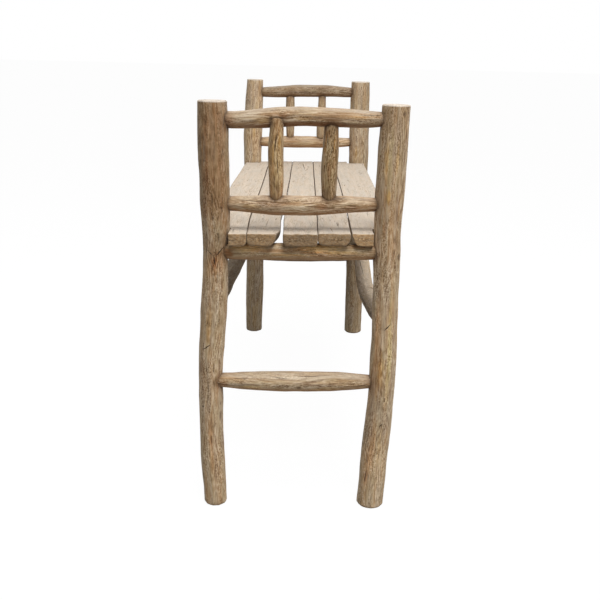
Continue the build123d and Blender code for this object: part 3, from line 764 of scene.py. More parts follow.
class LogLine:
    """A crooked log between two points. Its wanders go along first and second."""

    STEPS = 160

    def __init__(self, start, end, first, second, thickness, stations):
        self.start = start
        self.length = (end - start).length
        self.direction = (end - start).normalized()
        self.front = (second - self.direction * second.dot(self.direction)).normalized()
        side = first - self.direction * first.dot(self.direction)
        self.side = (side - self.front * side.dot(self.front)).normalized()
        self.samples = []
        for i in range(self.STEPS + 1):
            share = i / self.STEPS
            out, aside, swell = smooth_values(stations, share)
            heart = start + (end - start) * share + first * out + second * aside
            self.samples.append((heart, (thickness + swell) / 2))

    def at(self, distance):
        """The heart and the radius at a distance along the log, and straight on past its ends."""
        inside = min(max(distance, 0.0), self.length)
        step = inside / self.length * self.STEPS
        k = min(int(step), self.STEPS - 1)
        (heart, radius), (next_heart, next_radius) = self.samples[k], self.samples[k + 1]
        part = step - k
        beyond = self.direction * (distance - inside)
        return heart.lerp(next_heart, part) + beyond, radius + (next_radius - radius) * part

    def at_height(self, height):
        """The heart and the radius at a height, for a post."""
        return self.at((height - self.start.z) / self.direction.z)

    def at_place_across(self, y):
        """The heart and the radius at a place across the frame, for a rail."""
        return self.at((y - self.start.y) / self.direction.y)

    def gap_to(self, point):
        """How far a point is outside the log's skin."""
        distance = (point - self.start).dot(self.direction)
        heart, radius = self.at(distance)
        return max((point - heart).length - radius, distance - self.length, -distance)


def post_line(name):
    """A post, from the worn edge of its foot to that of its top."""
    thickness, stations = POST_SHAPES[name]
    x = FRAME_HALF_SPACING if name.startswith("right") else -FRAME_HALF_SPACING
    side = -1 if "front" in name else 1
    foot = Vector((x, side * FRAME_HALF_WIDTH, FOOT_LENGTH))
    top = Vector((x, side * FRAME_HALF_WIDTH, HEIGHT - TOP_LENGTH))
    return LogLine(foot, top, ACROSS * side, ALONG, thickness, stations)


LOGS = {name: post_line(name) for name in POST_SHAPES}


def frame_rail_line(name):
    """A rail of an end frame, from the heart of the front post to that of the back post."""
    height, thickness, _, stations = FRAME_RAIL_SHAPES[name]
    frame_side = name.split("_")[0]
    start, _ = LOGS[f"{frame_side}_front_post"].at_height(height - RAIL_RISE / 2)
    end, _ = LOGS[f"{frame_side}_back_post"].at_height(height + RAIL_RISE / 2)
    return LogLine(start, end, UP, ALONG, thickness, stations)


def side_stretcher_line(name):
    """A side stretcher, from the left post to the right post."""
    (left_height, right_height), thickness, _, stations = SIDE_STRETCHER_SHAPES[name]
    seat_side = name.split("_")[0]
    start, _ = LOGS[f"left_{seat_side}_post"].at_height(left_height)
    end, _ = LOGS[f"right_{seat_side}_post"].at_height(right_height)
    return LogLine(start, end, UP, ACROSS, thickness, stations)


LOGS.update({name: frame_rail_line(name) for name in FRAME_RAIL_SHAPES})
LOGS.update({name: side_stretcher_line(name) for name in SIDE_STRETCHER_SHAPES})


def spindle_line(name):
    """A spindle, from the heart of the lower arm rail to that of the arm rail."""
    place, stand_out, thickness, stations = SPINDLE_SHAPES[name]
    frame_side = name.split("_")[0]
    low, _ = LOGS[f"{frame_side}_lower_arm_rail"].at_place_across(place)
    high, _ = LOGS[f"{frame_side}_arm_rail"].at_place_across(place)
    shift = ALONG * stand_out
    return LogLine(low + shift, high + shift, ACROSS, ALONG, thickness, stations)


LOGS.update({name: spindle_line(name) for name in SPINDLE_SHAPES})


def hosts_of(name):
    """The two posts that a rail or a stretcher runs between."""
    side = name.split("_")[0]
    if name in SIDE_STRETCHER_SHAPES:
        return [f"left_{side}_post", f"right_{side}_post"]
    return [f"{side}_front_post", f"{side}_back_post"]


def neighbours_of(name):
    """The logs whose joints with this one gather dirt and painted shade."""
    side = name.split("_")[0]
    if name in POST_SHAPES:
        return [rail for rail in (*FRAME_RAIL_SHAPES, *SIDE_STRETCHER_SHAPES) if name in hosts_of(rail)]
    if name in SPINDLE_SHAPES:
        return [f"{side}_arm_rail", f"{side}_lower_arm_rail"]
    spindles = [f"{side}_front_spindle", f"{side}_back_spindle"]
    return hosts_of(name) + (spindles if name.endswith("arm_rail") else [])


# ------------------------------------------------------------------ meshes
def ring_tube(around, rings):
    """A closed tube of rings of points. The ring's number is in each point's z."""
    bm = bmesh.new()
    bmesh.ops.create_cone(
        bm, cap_ends=True, cap_tris=True, segments=around, radius1=1.0, radius2=1.0, depth=rings - 1
    )
    lengthwise = [e for e in bm.edges if abs(e.verts[0].co.z - e.verts[1].co.z) > 0.5]
    bmesh.ops.subdivide_edges(bm, edges=lengthwise, cuts=rings - 2)
    bmesh.ops.translate(bm, verts=bm.verts, vec=(0, 0, (rings - 1) / 2))
    return bm


def ripple(place, across, along, seed):
    """Smooth noise from -1 to 1, in lumps of a size across and a size along the grain."""
    return noise.noise(
        Vector((place.x / across + seed, place.y / across - seed * 1.7, place.z / along + seed * 2.3))
    )


def facet(angle, place, radius, seed):
    """How far a stroke of the drawknife has cut under the round of a log."""
    strokes = 9
    swung = angle + 0.7 * ripple(place, 80.0, 110.0, seed)
    corner = swung % (tau / strokes) - pi / strokes
    strength = min(max(0.5 + 1.6 * ripple(place, 30.0, 70.0, seed + 5.0), 0.0), 1.0)
    return radius * (cos(pi / strokes) / cos(corner) - 1) * strength


def knot_height(angle, distance, radius, knots):
    """The bumps and dimples of a log's knots at a place on its skin."""
    height = 0.0
    for along, turn, size, rise, dimple in knots:
        aside = ((angle - radians(turn) + pi) % tau - pi) * radius
        away = hypot(aside, (distance - along) * 0.8) / size
        if away < 3.0:
            height += rise * exp(-away * away) - dimple * exp(-((away / 0.42) ** 2))
    return height


def finish_mesh(bm, name, cad_node, material):
    """Makes the piece that stands for a CAD node, from a mesh in millimetres."""
    bmesh.ops.scale(bm, vec=(MM, MM, MM), verts=bm.verts)
    bmesh.ops.recalc_face_normals(bm, faces=bm.faces)
    for face in bm.faces:
        face.smooth = True
    mesh = bpy.data.meshes.new(name)
    bm.to_mesh(mesh)
    bm.free()
    mesh.materials.append(material)
    piece = bpy.data.objects.new(name, mesh)
    bpy.context.scene.collection.objects.link(piece)
    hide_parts(cad_node)
    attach(piece, "root")
    return piece


def make_log(name, profile, around, material, surface):
    """Models one log from its heart line and a profile of (distance, fraction, inset)."""
    log = LOGS[name]
    seed = 3.1 + 7.7 * sorted(LOGS).index(name)
    knots = KNOTS.get(name, [])
    others = [LOGS[other] for other in neighbours_of(name)]
    lumps, ridges, facets = surface.lumps / MM, surface.ridges / MM, surface.facets
    bm = ring_tube(around, len(profile))
    grain = bm.verts.layers.float_vector.new("grain_place")
    soil_and_shade = bm.verts.layers.float.new("soil_and_shade")
    sawn = bm.verts.layers.float.new("sawn")
    rings = [(*log.at(distance), distance, fraction, inset) for distance, fraction, inset in profile]
    for vert in bm.verts:
        pole = hypot(vert.co.x, vert.co.y) < 0.5
        angle = atan2(vert.co.y, vert.co.x)
        heart, radius, distance, fraction, inset = rings[round(vert.co.z)]
        outwards = log.front * cos(angle) + log.side * sin(angle)
        if pole:
            fraction = 0.0
        rim = radius * fraction - (inset if fraction else 0.0)
        skin = Vector((radius * cos(angle), radius * sin(angle), distance))
        height = lumps * (ripple(skin, 34.0, 60.0, seed) + 0.45 * ripple(skin, 13.0, 26.0, seed + 3.0))
        height += facets * facet(angle, skin, radius, seed)
        height += ridges * (1.0 - 2.2 * abs(ripple(skin, 3.6, 48.0, seed + 9.0)))
        height += knot_height(angle, distance, radius, knots)
        reach = rim + height * min(rim / radius, 1.0)
        point = heart + outwards * reach
        if fraction < 1.0:
            unevenness = 0.35 * noise.noise(point / 9.0) + 0.25 * noise.noise(point / 3.0)
            point += log.direction * unevenness * (1.0 - fraction)
        vert.co = point
        vert[grain] = Vector((reach * cos(angle), reach * sin(angle), distance))
        # dirt and painted shade, strongest where another log meets this one
        nearest = min(other.gap_to(point) for other in others)
        vert[soil_and_shade] = exp(-max(nearest - SOIL_AND_SHADE_START, 0.0) / SOIL_AND_SHADE_REACH)
        worn_top = name in POST_SHAPES and inset > 0.0 and distance > log.length / 2
        vert[sawn] = 1.0 if fraction < 1.0 else 0.7 * worn_top
    return finish_mesh(bm, name + "_log", name, material)


def steps(start, end, spacing):
    """Evenly spaced distances from start to end, both included."""
    count = max(round((end - start) / spacing), 1)
    return [start + (end - start) * i / count for i in range(count + 1)]


def rounded_end(tip, inward, rounding, depth=None):
    """The rings of a rounded log end, from the middle of its face out to its side."""
    depth = depth or rounding
    rings = [(tip, share, 0.0) for share in (0.2, 0.4, 0.6, 0.75)]
    for i in range(7):
        turn = i / 6 * pi / 2
        rings.append((tip + inward * depth * (1 - cos(turn)), 1.0, rounding * (1 - sin(turn))))
    return rings


def post_profile(log):
    """From the middle of the foot, up the side, to the middle of the top."""
    foot = rounded_end(-FOOT_LENGTH, 1, FOOT_ROUND)
    top = rounded_end(log.length + TOP_LENGTH, -1, TOP_ROUND)
    side = steps(foot[-1][0], top[-1][0], POST_SPACING)[1:-1]
    return foot + [(distance, 1.0, 0.0) for distance in side] + top[::-1]


def rail_profile(log, host_radii, tenon):
    """A tenon, a shoulder hidden in the post, the rail, and the other shoulder and tenon."""

    def tenon_rings(end, inward, host_radius):
        tip = end - inward * TENON_BEYOND
        inset = log.at(end)[1] - tenon / 2
        rings = [(tip, share, 0.0) for share in (0.2, 0.4)]
        rings += [(tip, 1.0, inset), (end + inward * (host_radius - TENON_ROOT), 1.0, inset)]
        return rings + [(end + inward * (host_radius - SHOULDER), 1.0, 1.0)]

    start = tenon_rings(0.0, 1, host_radii[0])
    end = tenon_rings(log.length, -1, host_radii[1])
    skin = (host_radii[0] - SKIN_START, log.length - host_radii[1] + SKIN_START)
    return start + [(distance, 1.0, 0.0) for distance in steps(*skin, RAIL_SPACING)] + end[::-1]


def spindle_profile(foot, head):
    """A spindle from inside the lower rail to inside the arm rail, with domed ends."""
    start = rounded_end(foot, 1, *FOOT_DOME)
    end = rounded_end(head, -1, *HEAD_DOME)
    side = steps(start[-1][0], end[-1][0], SPINDLE_SPACING)[1:-1]
    return start + [(distance, 1.0, 0.0) for distance in side] + end[::-1]


# ------------------------------------------------------------------ the seat
def bearer_top(name):
    """The middle of the flat on top of a bearer."""
    heart, radius = LOGS[name].at(LOGS[name].length / 2)
    return heart + UP * (radius - BEARER_FLAT)


SEAT_ALONG = (bearer_top("right_seat_bearer") - bearer_top("left_seat_bearer")).normalized()
SEAT_RISE = Vector((0, 2 * FRAME_HALF_WIDTH, RAIL_RISE)).normalized()
SEAT_UP = SEAT_ALONG.cross(SEAT_RISE).normalized()
SEAT_ACROSS = SEAT_UP.cross(SEAT_ALONG)
SEAT_MIDDLE = (bearer_top("right_seat_bearer") + bearer_top("left_seat_bearer")) / 2


def seat_point(along, across, above):
    """A point given by its place along and across the seat, above the planks' underside."""
    return SEAT_MIDDLE + SEAT_ALONG * along + SEAT_ACROSS * across + SEAT_UP * above


def bezier(start, pull, end, u):
    """A point on a quadratic curve, as (across, above)."""
    return tuple(
        (1 - u) ** 2 * a + 2 * u * (1 - u) * b + u**2 * c for a, b, c in zip(start, pull, end)
    )


def plank_outline(front_edge, back_edge, wanes, worn):
    """A plank's section as a ring of (across, above), with its corners worn round."""
    (front_wane, front_start, front_slope), (back_wane, back_start, back_slope) = wanes
    thick = PLANK_THICKNESS
    front_low = (front_edge, thick - front_start)
    front_turn = (front_edge + front_wane * front_slope, 0.0)
    front_foot = (front_edge + front_wane, 0.0)
    back_foot = (back_edge - back_wane, 0.0)
    back_turn = (back_edge - back_wane * back_slope, 0.0)
    back_low = (back_edge, thick - back_start)
    curve = [(back_edge, thick), (front_edge, thick)]
    curve += [bezier(front_low, front_turn, front_foot, i / 10) for i in range(11)]
    curve += [bezier(back_foot, back_turn, back_low, i / 10) for i in range(11)]
    curve += [(back_edge, thick)]
    spans = [hypot(b[0] - a[0], b[1] - a[1]) for a, b in zip(curve, curve[1:])]
    total = sum(spans)

    def on_curve(walk):
        walk %= total
        for (a, b), span in zip(zip(curve, curve[1:]), spans):
            if walk <= span:
                part = walk / span
                return a[0] + (b[0] - a[0]) * part, a[1] + (b[1] - a[1]) * part
            walk -= span
        return curve[0]

    ring = []
    for i in range(PLANK_POINTS):
        middle = i / PLANK_POINTS * total
        near = [on_curve(middle + worn * reach) for reach in (-1.0, -0.6, -0.25, 0.25, 0.6, 1.0)]
        ring.append((sum(p[0] for p in near) / 6, sum(p[1] for p in near) / 6))
    return ring


class PlankEdges:
    """The two long edges of a plank, with the wander that it shares with its neighbours."""

    def __init__(self, name, wavy):
        shape = PLANK_SHAPES[name]
        self.number = sorted(PLANK_SHAPES).index(name)
        self.wavy = wavy
        self.right_end = FRAME_HALF_SPACING + shape["overhangs"][0]
        self.left_end = -FRAME_HALF_SPACING - shape["overhangs"][1]
        self.places = (self.right_end, *PLANK_STATIONS, self.left_end)
        self.edges = (shape["front"], shape["back"])
        self.lips = (LIP if self.number else 0.0, LIP if self.number < len(PLANK_SHAPES) - 1 else 0.0)
        self.broken = name == BROKEN_CORNER

    def straight(self, side, along):
        """An edge without its wander: 0 is the front edge and 1 the back edge."""
        total = 0.0
        for reach in (-24.0, -8.0, 8.0, 24.0):
            place = min(max(along + reach, self.left_end), self.right_end)
            k = max(i for i in range(4) if self.places[i] >= place)
            part = (self.places[k] - place) / (self.places[k] - self.places[k + 1])
            total += self.edges[side][k] * (1 - part) + self.edges[side][k + 1] * part
        return total / 4

    def wander(self, side, along):
        """How far an edge strays, the same on both sides of a seam."""
        seam = 4.1 * (self.number + side)
        broad = noise.noise(Vector((seam, along / 105.0, 0.3)))
        fine = noise.noise(Vector((seam, along / 24.0, 5.7)))
        return self.wavy * (1.3 * broad + 0.45 * fine)

    def at(self, along):
        """The front and the back edge at a place along the seat."""
        front = self.straight(0, along) + self.wander(0, along) - self.lips[0]
        back = self.straight(1, along) + self.wander(1, along) + self.lips[1]
        gone = (along - self.right_end + BROKEN_ALONG) / BROKEN_ALONG
        if self.broken and gone > 0:
            back -= BROKEN_ACROSS * gone**1.2
        return front, back


def slight_wanes(wanes):
    """The same bark edges where they are half as large. Slanting ones stay."""
    return [
        wane if wane[2] >= SLANTING_WANE else (wane[0] / 2, (PLANK_THICKNESS + wane[1]) / 2, wane[2])
        for wane in wanes
    ]


def plank_rings(left_end, right_end, worn):
    """Rings as (place along, how far the section draws in at the worn end, share to the core)."""
    turns = [i / 5 * pi / 2 for i in range(6)]
    rounding = [(worn * (1 - cos(turn)), worn * (1 - sin(turn))) for turn in turns]
    left = [(left_end, worn, share) for share in (0.9, 0.6, 0.3)]
    left += [(left_end + back, inset, 0.0) for back, inset in rounding]
    right = [(right_end - back, inset, 0.0) for back, inset in rounding[::-1]]
    right += [(right_end, worn, share) for share in (0.3, 0.6, 0.9)]
    middle = steps(left_end + worn, right_end - worn, PLANK_SPACING)[1:-1]
    return left + [(along, 0.0, 0.0) for along in middle] + right


def make_plank(name, material, surface):
    """Models one waney plank, with worn edges and ragged ends."""
    wanes = PLANK_SHAPES[name]["wanes"]
    seed = 11.3 + 5.9 * sorted(PLANK_SHAPES).index(name)
    worn, hollows = surface.worn_edge / MM, surface.hollows / MM
    edges = PlankEdges(name, surface.waviness / MM)
    middle_edges = (edges.straight(0, 0.0), edges.straight(1, 0.0))
    outline = plank_outline(*middle_edges, wanes, worn)
    inner_outline = plank_outline(*middle_edges, slight_wanes(wanes), worn)
    width = middle_edges[1] - middle_edges[0]
    half = PLANK_THICKNESS / 2
    rings = [(*ring, *edges.at(ring[0])) for ring in plank_rings(edges.left_end, edges.right_end, worn)]
    bm = ring_tube(PLANK_POINTS, len(rings))
    for vert in bm.verts:
        pole = hypot(vert.co.x, vert.co.y) < 0.5
        index = round(atan2(vert.co.y, vert.co.x) / tau * PLANK_POINTS) % PLANK_POINTS
        along, inset, core, front, back = rings[round(vert.co.z)]
        full = min(max((along - edges.right_end + WANE_GROWTH_START) / WANE_GROWTH, 0.0), 1.0)
        across, above = (a * full + b * (1 - full) for a, b in zip(outline[index], inner_outline[index]))
        share = (across - middle_edges[0]) / width
        across += (front - middle_edges[0]) * (1 - share) + (back - middle_edges[1]) * share
        core_across = min(max(across, front + CORE_DEPTH), back - CORE_DEPTH)
        outward = Vector((across - core_across, above - half))
        if outward.length > 1e-6:
            outward.normalize()
        if pole:
            core = 1.0
        place = Vector((across, above, along))
        dent = ripple(place, 32.0, 120.0, seed + 4.0) + 0.5 * ripple(place, 9.0, 60.0, seed + 6.0)
        move = hollows * (dent - 0.3) * (1 - abs(outward.x)) - inset
        across += outward.x * move
        above += outward.y * move
        across += (core_across - across) * core
        above += (half - above) * core
        if inset or core:
            ragged = 0.8 * noise.noise(Vector((across / 14.0, above / 8.0, seed + along)))
            ragged += 0.45 * noise.noise(Vector((across / 3.0, above / 3.0, seed)))
            along += ragged
        vert.co = seat_point(along, across, above)
    plank = finish_mesh(bm, name + "_slab", name, material)
    for end, shoulder, tongue in PLANK_NOTCHES.get(name, ()):
        cut_notch(plank, end, shoulder, tongue)
    return plank


def cut_notch(plank, end, shoulder, tongue):
    """Saws the corner out of a plank where it passes a post."""
    outward = 1 if tongue > 0 else -1
    bm = bmesh.new()
    bmesh.ops.create_cube(bm, size=1.0)
    bmesh.ops.scale(bm, vec=(NOTCH_REACH, NOTCH_REACH, 3 * PLANK_THICKNESS), verts=bm.verts)
    bmesh.ops.bevel(
        bm,
        geom=[e for e in bm.edges if abs(e.verts[0].co.z - e.verts[1].co.z) > 1.0],
        offset=NOTCH_ROUND,
        affect="EDGES",
        segments=3,
        profile=0.5,
        material=-1,
    )
    turn = Matrix((SEAT_ALONG, SEAT_ACROSS, SEAT_UP)).transposed().to_4x4()
    along, across = shoulder + end * NOTCH_REACH / 2, tongue + outward * NOTCH_REACH / 2
    middle = seat_point(along, across, PLANK_THICKNESS / 2)
    bmesh.ops.transform(bm, matrix=Matrix.Translation(middle) @ turn, verts=bm.verts)
    bmesh.ops.scale(bm, vec=(MM, MM, MM), verts=bm.verts)
    bmesh.ops.recalc_face_normals(bm, faces=bm.faces)
    cutter_mesh = bpy.data.meshes.new("notch_cutter")
    bm.to_mesh(cutter_mesh)
    bm.free()
    cutter = bpy.data.objects.new("notch_cutter", cutter_mesh)
    bpy.context.scene.collection.objects.link(cutter)
    saw = plank.modifiers.new("Notch", "BOOLEAN")
    saw.operation = "DIFFERENCE"
    saw.solver = "MANIFOLD"
    saw.object = cutter
    evaluated = plank.evaluated_get(bpy.context.evaluated_depsgraph_get())
    sawn = bpy.data.meshes.new_from_object(evaluated)
    plank.modifiers.remove(saw)
    old = plank.data
    plank.data = sawn
    sawn.name = old.name
    bpy.data.meshes.remove(old)
    bpy.data.objects.remove(cutter)
    bpy.data.meshes.remove(cutter_mesh)


# ------------------------------------------------------------------ materials
class NodeSheet:
    """Lays nodes out in a tree and links them."""

    def __init__(self, tree):
        self.tree = tree
        self.count = 0

    def add(self, kind, inputs=None, **settings):
        """Adds a node. Inputs are given by name or number, as sockets or plain values."""
        node = self.tree.nodes.new(kind)
        node.location = (220 * (self.count % 24), -240 * (self.count // 24))
        self.count += 1
        for key, value in settings.items():
            setattr(node, key, value)
        for key, value in (inputs or {}).items():
            self.feed(node.inputs[key], value)
        return node

    def feed(self, socket, value):
        """Links a socket to another socket, or sets its plain value."""
        if isinstance(value, bpy.types.NodeSocket):
            self.tree.links.new(value, socket)
        elif socket.type == "RGBA" and len(value) == 3:
            socket.default_value = (*value, 1.0)
        else:
            socket.default_value = value

    def math(self, operation, first, second=0.0, third=0.0, clamp=False):
        node = self.add("ShaderNodeMath", operation=operation, use_clamp=clamp)
        for socket, value in zip(node.inputs, (first, second, third)):
            self.feed(socket, value)
        return node.outputs[0]

    def times(self, first, second):
        return self.math("MULTIPLY", first, second)

    def swing(self, value, factor, onto=0.0, middle=0.5):
        """Adds how far a value is from its middle, times a factor, to another value."""
        return self.math("MULTIPLY_ADD", self.math("SUBTRACT", value, middle), factor, onto)

    def wave(self, turn):
        """A smooth wave from 0 to 1."""
        return self.math("MULTIPLY_ADD", self.math("SINE", turn), 0.5, 0.5)

    def vector(self, operation, first, second=(0.0, 0.0, 0.0)):
        node = self.add("ShaderNodeVectorMath", operation=operation)
        self.feed(node.inputs[0], first)
        self.feed(node.inputs[1], second)
        return node.outputs["Value" if operation in {"LENGTH", "DOT_PRODUCT"} else "Vector"]

    def scaled(self, vector, factor):
        node = self.add("ShaderNodeVectorMath", operation="SCALE")
        self.feed(node.inputs[0], vector)
        self.feed(node.inputs["Scale"], factor)
        return node.outputs["Vector"]

    def parts(self, vector):
        """The three parts of a vector, called X, Y and Z."""
        return self.add("ShaderNodeSeparateXYZ", {0: vector}).outputs

    def joined(self, x, y, z):
        """A vector from its three parts."""
        return self.add("ShaderNodeCombineXYZ", {0: x, 1: y, 2: z}).outputs[0]

    def noise(self, vector, detail, roughness, output="Fac"):
        inputs = {"Vector": vector, "Scale": 1.0, "Detail": detail, "Roughness": roughness}
        return self.add("ShaderNodeTexNoise", inputs).outputs[output]

    def layer(self, place, scale, detail, roughness, output="Fac"):
        """Noise that is finer or coarser each way, as a vector of scales says."""
        return self.noise(self.vector("MULTIPLY", place, scale), detail, roughness, output)

    def three_layers(self, place, scale, detail, roughness):
        """Three layers of noise that have nothing to do with each other."""
        colour = self.layer(place, scale, detail, roughness, "Color")
        return self.add("ShaderNodeSeparateColor", {0: colour}).outputs

    def wobbled(self, place, scale, detail, roughness, reach):
        """A place that smooth noise has moved about."""
        sway = self.layer(place, scale, detail, roughness, "Color")
        sway = self.scaled(self.vector("SUBTRACT", sway, (0.5, 0.5, 0.5)), reach)
        return self.vector("ADD", place, sway)

    def spread(self, value, low, high, new_low=0.0, new_high=1.0, smooth=False):
        """Spreads a value from one range to another, without going past its ends."""
        ranges = {"From Min": low, "From Max": high, "To Min": new_low, "To Max": new_high}
        kind = "SMOOTHSTEP" if smooth else "LINEAR"
        node = self.add("ShaderNodeMapRange", {"Value": value, **ranges}, interpolation_type=kind)
        return node.outputs["Result"]

    def mix(self, factor, first, second, blend="MIX"):
        node = self.add("ShaderNodeMix", data_type="RGBA", blend_type=blend)
        self.feed(node.inputs[0], factor)
        self.feed(node.inputs[6], first)
        self.feed(node.inputs[7], second)
        return node.outputs[2]

    def tint(self, factor, tone, tint):
        """Multiplies a colour by another, as far as a factor says."""
        return self.mix(factor, tone, tint, "MULTIPLY")


FLOAT, VECTOR, COLOUR = "NodeSocketFloat", "NodeSocketVector", "NodeSocketColor"
ORIGIN = (0.0, 0.0, 0.0)
GREY = (0.5, 0.5, 0.5)
WOOD_TONES = ("Pale", "Middle", "Dark", "Warm", "Silver", "Soil")
CRACK_DEPTH = 1.6  # in the relief of the finish, beside streaks of 0.5
# The sockets of a group for something at one place: where it is, and the way across the grain.
SPOT_SOCKETS = (("Place", VECTOR, ORIGIN), ("Centre", VECTOR, ORIGIN), ("Across", VECTOR, (0.0, 1.0, 0.0)))
OUTWARD_SOCKET = ("Outward", VECTOR, (1.0, 0.0, 0.0))


def new_group(name, inputs, outputs):
    """An empty node group with named sockets, and its sheet, inputs and output sockets."""
    group = bpy.data.node_groups.new(name, "ShaderNodeTree")
    for socket_name, kind, default in inputs:
        socket = group.interface.new_socket(socket_name, in_out="INPUT", socket_type=kind)
        socket.default_value = (*default, 1.0) if kind == COLOUR else default
    for socket_name, kind in outputs:
        group.interface.new_socket(socket_name, in_out="OUTPUT", socket_type=kind)
    sheet = NodeSheet(group)
    given = sheet.add("NodeGroupInput").outputs
    result = sheet.add("NodeGroupOutput").inputs
    return group, sheet, given, result


def make_grain_group():
    """Weathered wood grain on a solid: streaks, fibres, year rings, blotches and fine checks."""
    group, sheet, given, result = new_group(
        "Weathered Grain",
        [
            ("Place", VECTOR, ORIGIN),
            ("Pith", VECTOR, ORIGIN),
            ("Seed", FLOAT, 0.0),
            ("Streak Width", FLOAT, 2.3),
            ("Streak Length", FLOAT, 130.0),
            ("Ring Width", FLOAT, 2.4),
            ("Ring Strength", FLOAT, 0.3),
            ("Contrast", FLOAT, 1.0),
            ("Flecks", FLOAT, 0.45),
            ("Pits", FLOAT, 0.6),
            ("Warmth", FLOAT, 0.5),
            *((tone, COLOUR, GREY) for tone in WOOD_TONES),
        ],
        [("Color", COLOUR), ("Height", FLOAT), ("Roughness", FLOAT)],
    )
    shift = sheet.scaled((17.3, 9.1, 31.7), given["Seed"])
    place = sheet.vector("ADD", given["Place"], shift)
    swayed = sheet.wobbled(place, (0.035, 0.035, 0.014), 2.0, 0.5, 11.0)

    across = sheet.math("DIVIDE", 1.0, given["Streak Width"])
    along = sheet.math("DIVIDE", 1.0, given["Streak Length"])
    streaks = sheet.layer(swayed, sheet.joined(across, across, along), 3.0, 0.6)
    streaks = sheet.spread(streaks, 0.28, 0.72)
    bands = sheet.spread(sheet.layer(swayed, (0.08, 0.08, 0.0045), 2.0, 0.5), 0.3, 0.7)
    fibres = sheet.spread(sheet.layer(swayed, (0.85, 0.85, 0.035), 2.0, 0.65), 0.25, 0.75)
    mottle = sheet.spread(sheet.layer(place, (0.16, 0.16, 0.07), 3.0, 0.6), 0.3, 0.7)
    flecks = sheet.spread(sheet.layer(place, (0.55, 0.55, 0.28), 2.0, 0.7), 0.3, 0.7)
    calm = sheet.spread(sheet.layer(place, (0.02, 0.02, 0.009), 1.0, 0.5), 0.35, 0.65, 0.6, 1.2)
    speckled = sheet.layer(swayed, (0.1, 0.1, 0.012), 2.0, 0.5)
    speckled = sheet.spread(speckled, 0.45, 0.6, 0.5, 2.2, smooth=True)

    # year rings, round a pith that wanders
    from_pith = sheet.vector("SUBTRACT", given["Place"], given["Pith"])
    from_pith = sheet.vector("LENGTH", sheet.vector("MULTIPLY", from_pith, (1.0, 1.0, 0.0)))
    drift = sheet.layer(place, (0.05, 0.05, 0.009), 2.0, 0.45)
    from_pith = sheet.math("MULTIPLY_ADD", drift, 26.0, from_pith)
    turns = sheet.times(sheet.math("DIVIDE", from_pith, given["Ring Width"]), tau)
    rings = sheet.math("POWER", sheet.wave(turns), 1.6)

    # how light the wood is, about 0.5
    value = 0.0
    for part, weight in ((streaks, 0.32), (bands, 0.16), (fibres, 0.7), (mottle, 0.15)):
        value = sheet.swing(part, weight, value)
    value = sheet.math("MULTIPLY_ADD", sheet.swing(flecks, speckled), given["Flecks"], value)
    value = sheet.swing(rings, given["Ring Strength"], value, middle=0.4)
    value = sheet.math("MULTIPLY_ADD", sheet.times(value, calm), given["Contrast"], 0.5)
    low = sheet.math("MULTIPLY", value, 2.0, clamp=True)
    high = sheet.math("MULTIPLY_ADD", value, 2.0, -1.0, clamp=True)

    # warm and silver patches under it
    patches = sheet.three_layers(swayed, (0.11, 0.11, 0.010), 4.0, 0.6)
    warm = sheet.times(sheet.spread(patches[0], 0.42, 0.62, smooth=True), given["Warmth"])
    cool = sheet.math("SUBTRACT", 1.0, given["Warmth"])
    silver = sheet.times(sheet.spread(patches[1], 0.42, 0.62, smooth=True), cool)
    tone = sheet.mix(warm, given["Middle"], given["Warm"])
    tone = sheet.mix(silver, tone, given["Silver"])
    tone = sheet.mix(low, given["Dark"], tone)
    tone = sheet.mix(high, tone, given["Pale"])

    # fine checks and pits, dark with dirt
    line = sheet.layer(swayed, (0.12, 0.12, 0.007), 2.0, 0.5)
    line = sheet.math("ABSOLUTE", sheet.math("SUBTRACT", line, 0.5))
    checks = sheet.spread(line, 0.004, 0.011, 1.0, 0.0)
    checks = sheet.times(checks, sheet.spread(patches[2], 0.5, 0.6))
    pits = sheet.spread(sheet.layer(swayed, (0.8, 0.8, 0.14), 1.0, 0.5), 0.7, 0.78)
    dirt = sheet.math("MAXIMUM", checks, sheet.times(pits, given["Pits"]))
    sheet.feed(result["Color"], sheet.mix(sheet.times(dirt, 0.75), tone, given["Soil"]))

    height = 0.0
    for part, weight in (
        (fibres, 0.3),
        (streaks, 0.5),
        (rings, 0.12),
        (mottle, 0.15),
        (flecks, 0.2),
        (dirt, -0.7),
    ):
        height = sheet.math("MULTIPLY_ADD", part, weight, height)
    sheet.feed(result["Height"], height)
    sheet.feed(result["Roughness"], sheet.spread(value, 0.2, 0.9, 0.92, 0.72))
    return group


def make_knot_group():
    """Bends the grain round a knot and gives the knot's disc, halo and rings."""
    group, sheet, given, result = new_group(
        "Knot",
        [*SPOT_SOCKETS, ("Size", FLOAT, 6.0)],
        [("Place", VECTOR), ("Disc", FLOAT), ("Halo", FLOAT), ("Rings", FLOAT)],
    )
    away = sheet.vector("SUBTRACT", given["Place"], given["Centre"])
    rough_edge = sheet.noise(sheet.scaled(given["Place"], 0.35), 2.0, 0.6)
    reach = sheet.vector("LENGTH", sheet.vector("MULTIPLY", away, (1.0, 1.0, 0.8)))
    reach = sheet.math("DIVIDE", reach, given["Size"])
    reach = sheet.swing(rough_edge, 0.7, reach)
    bend = sheet.math("MINIMUM", sheet.math("DIVIDE", 1.0, sheet.times(reach, reach)), 1.0)
    aside = sheet.vector("DOT_PRODUCT", away, given["Across"])
    push = sheet.scaled(given["Across"], sheet.times(aside, bend))
    sheet.feed(result["Place"], sheet.vector("SUBTRACT", given["Place"], push))
    sheet.feed(result["Disc"], sheet.spread(reach, 0.5, 0.85, 1.0, 0.0, smooth=True))
    sheet.feed(result["Halo"], sheet.spread(reach, 0.7, 1.9, 1.0, 0.0, smooth=True))
    sheet.feed(result["Rings"], sheet.wave(sheet.times(reach, 22.0)))
    return group


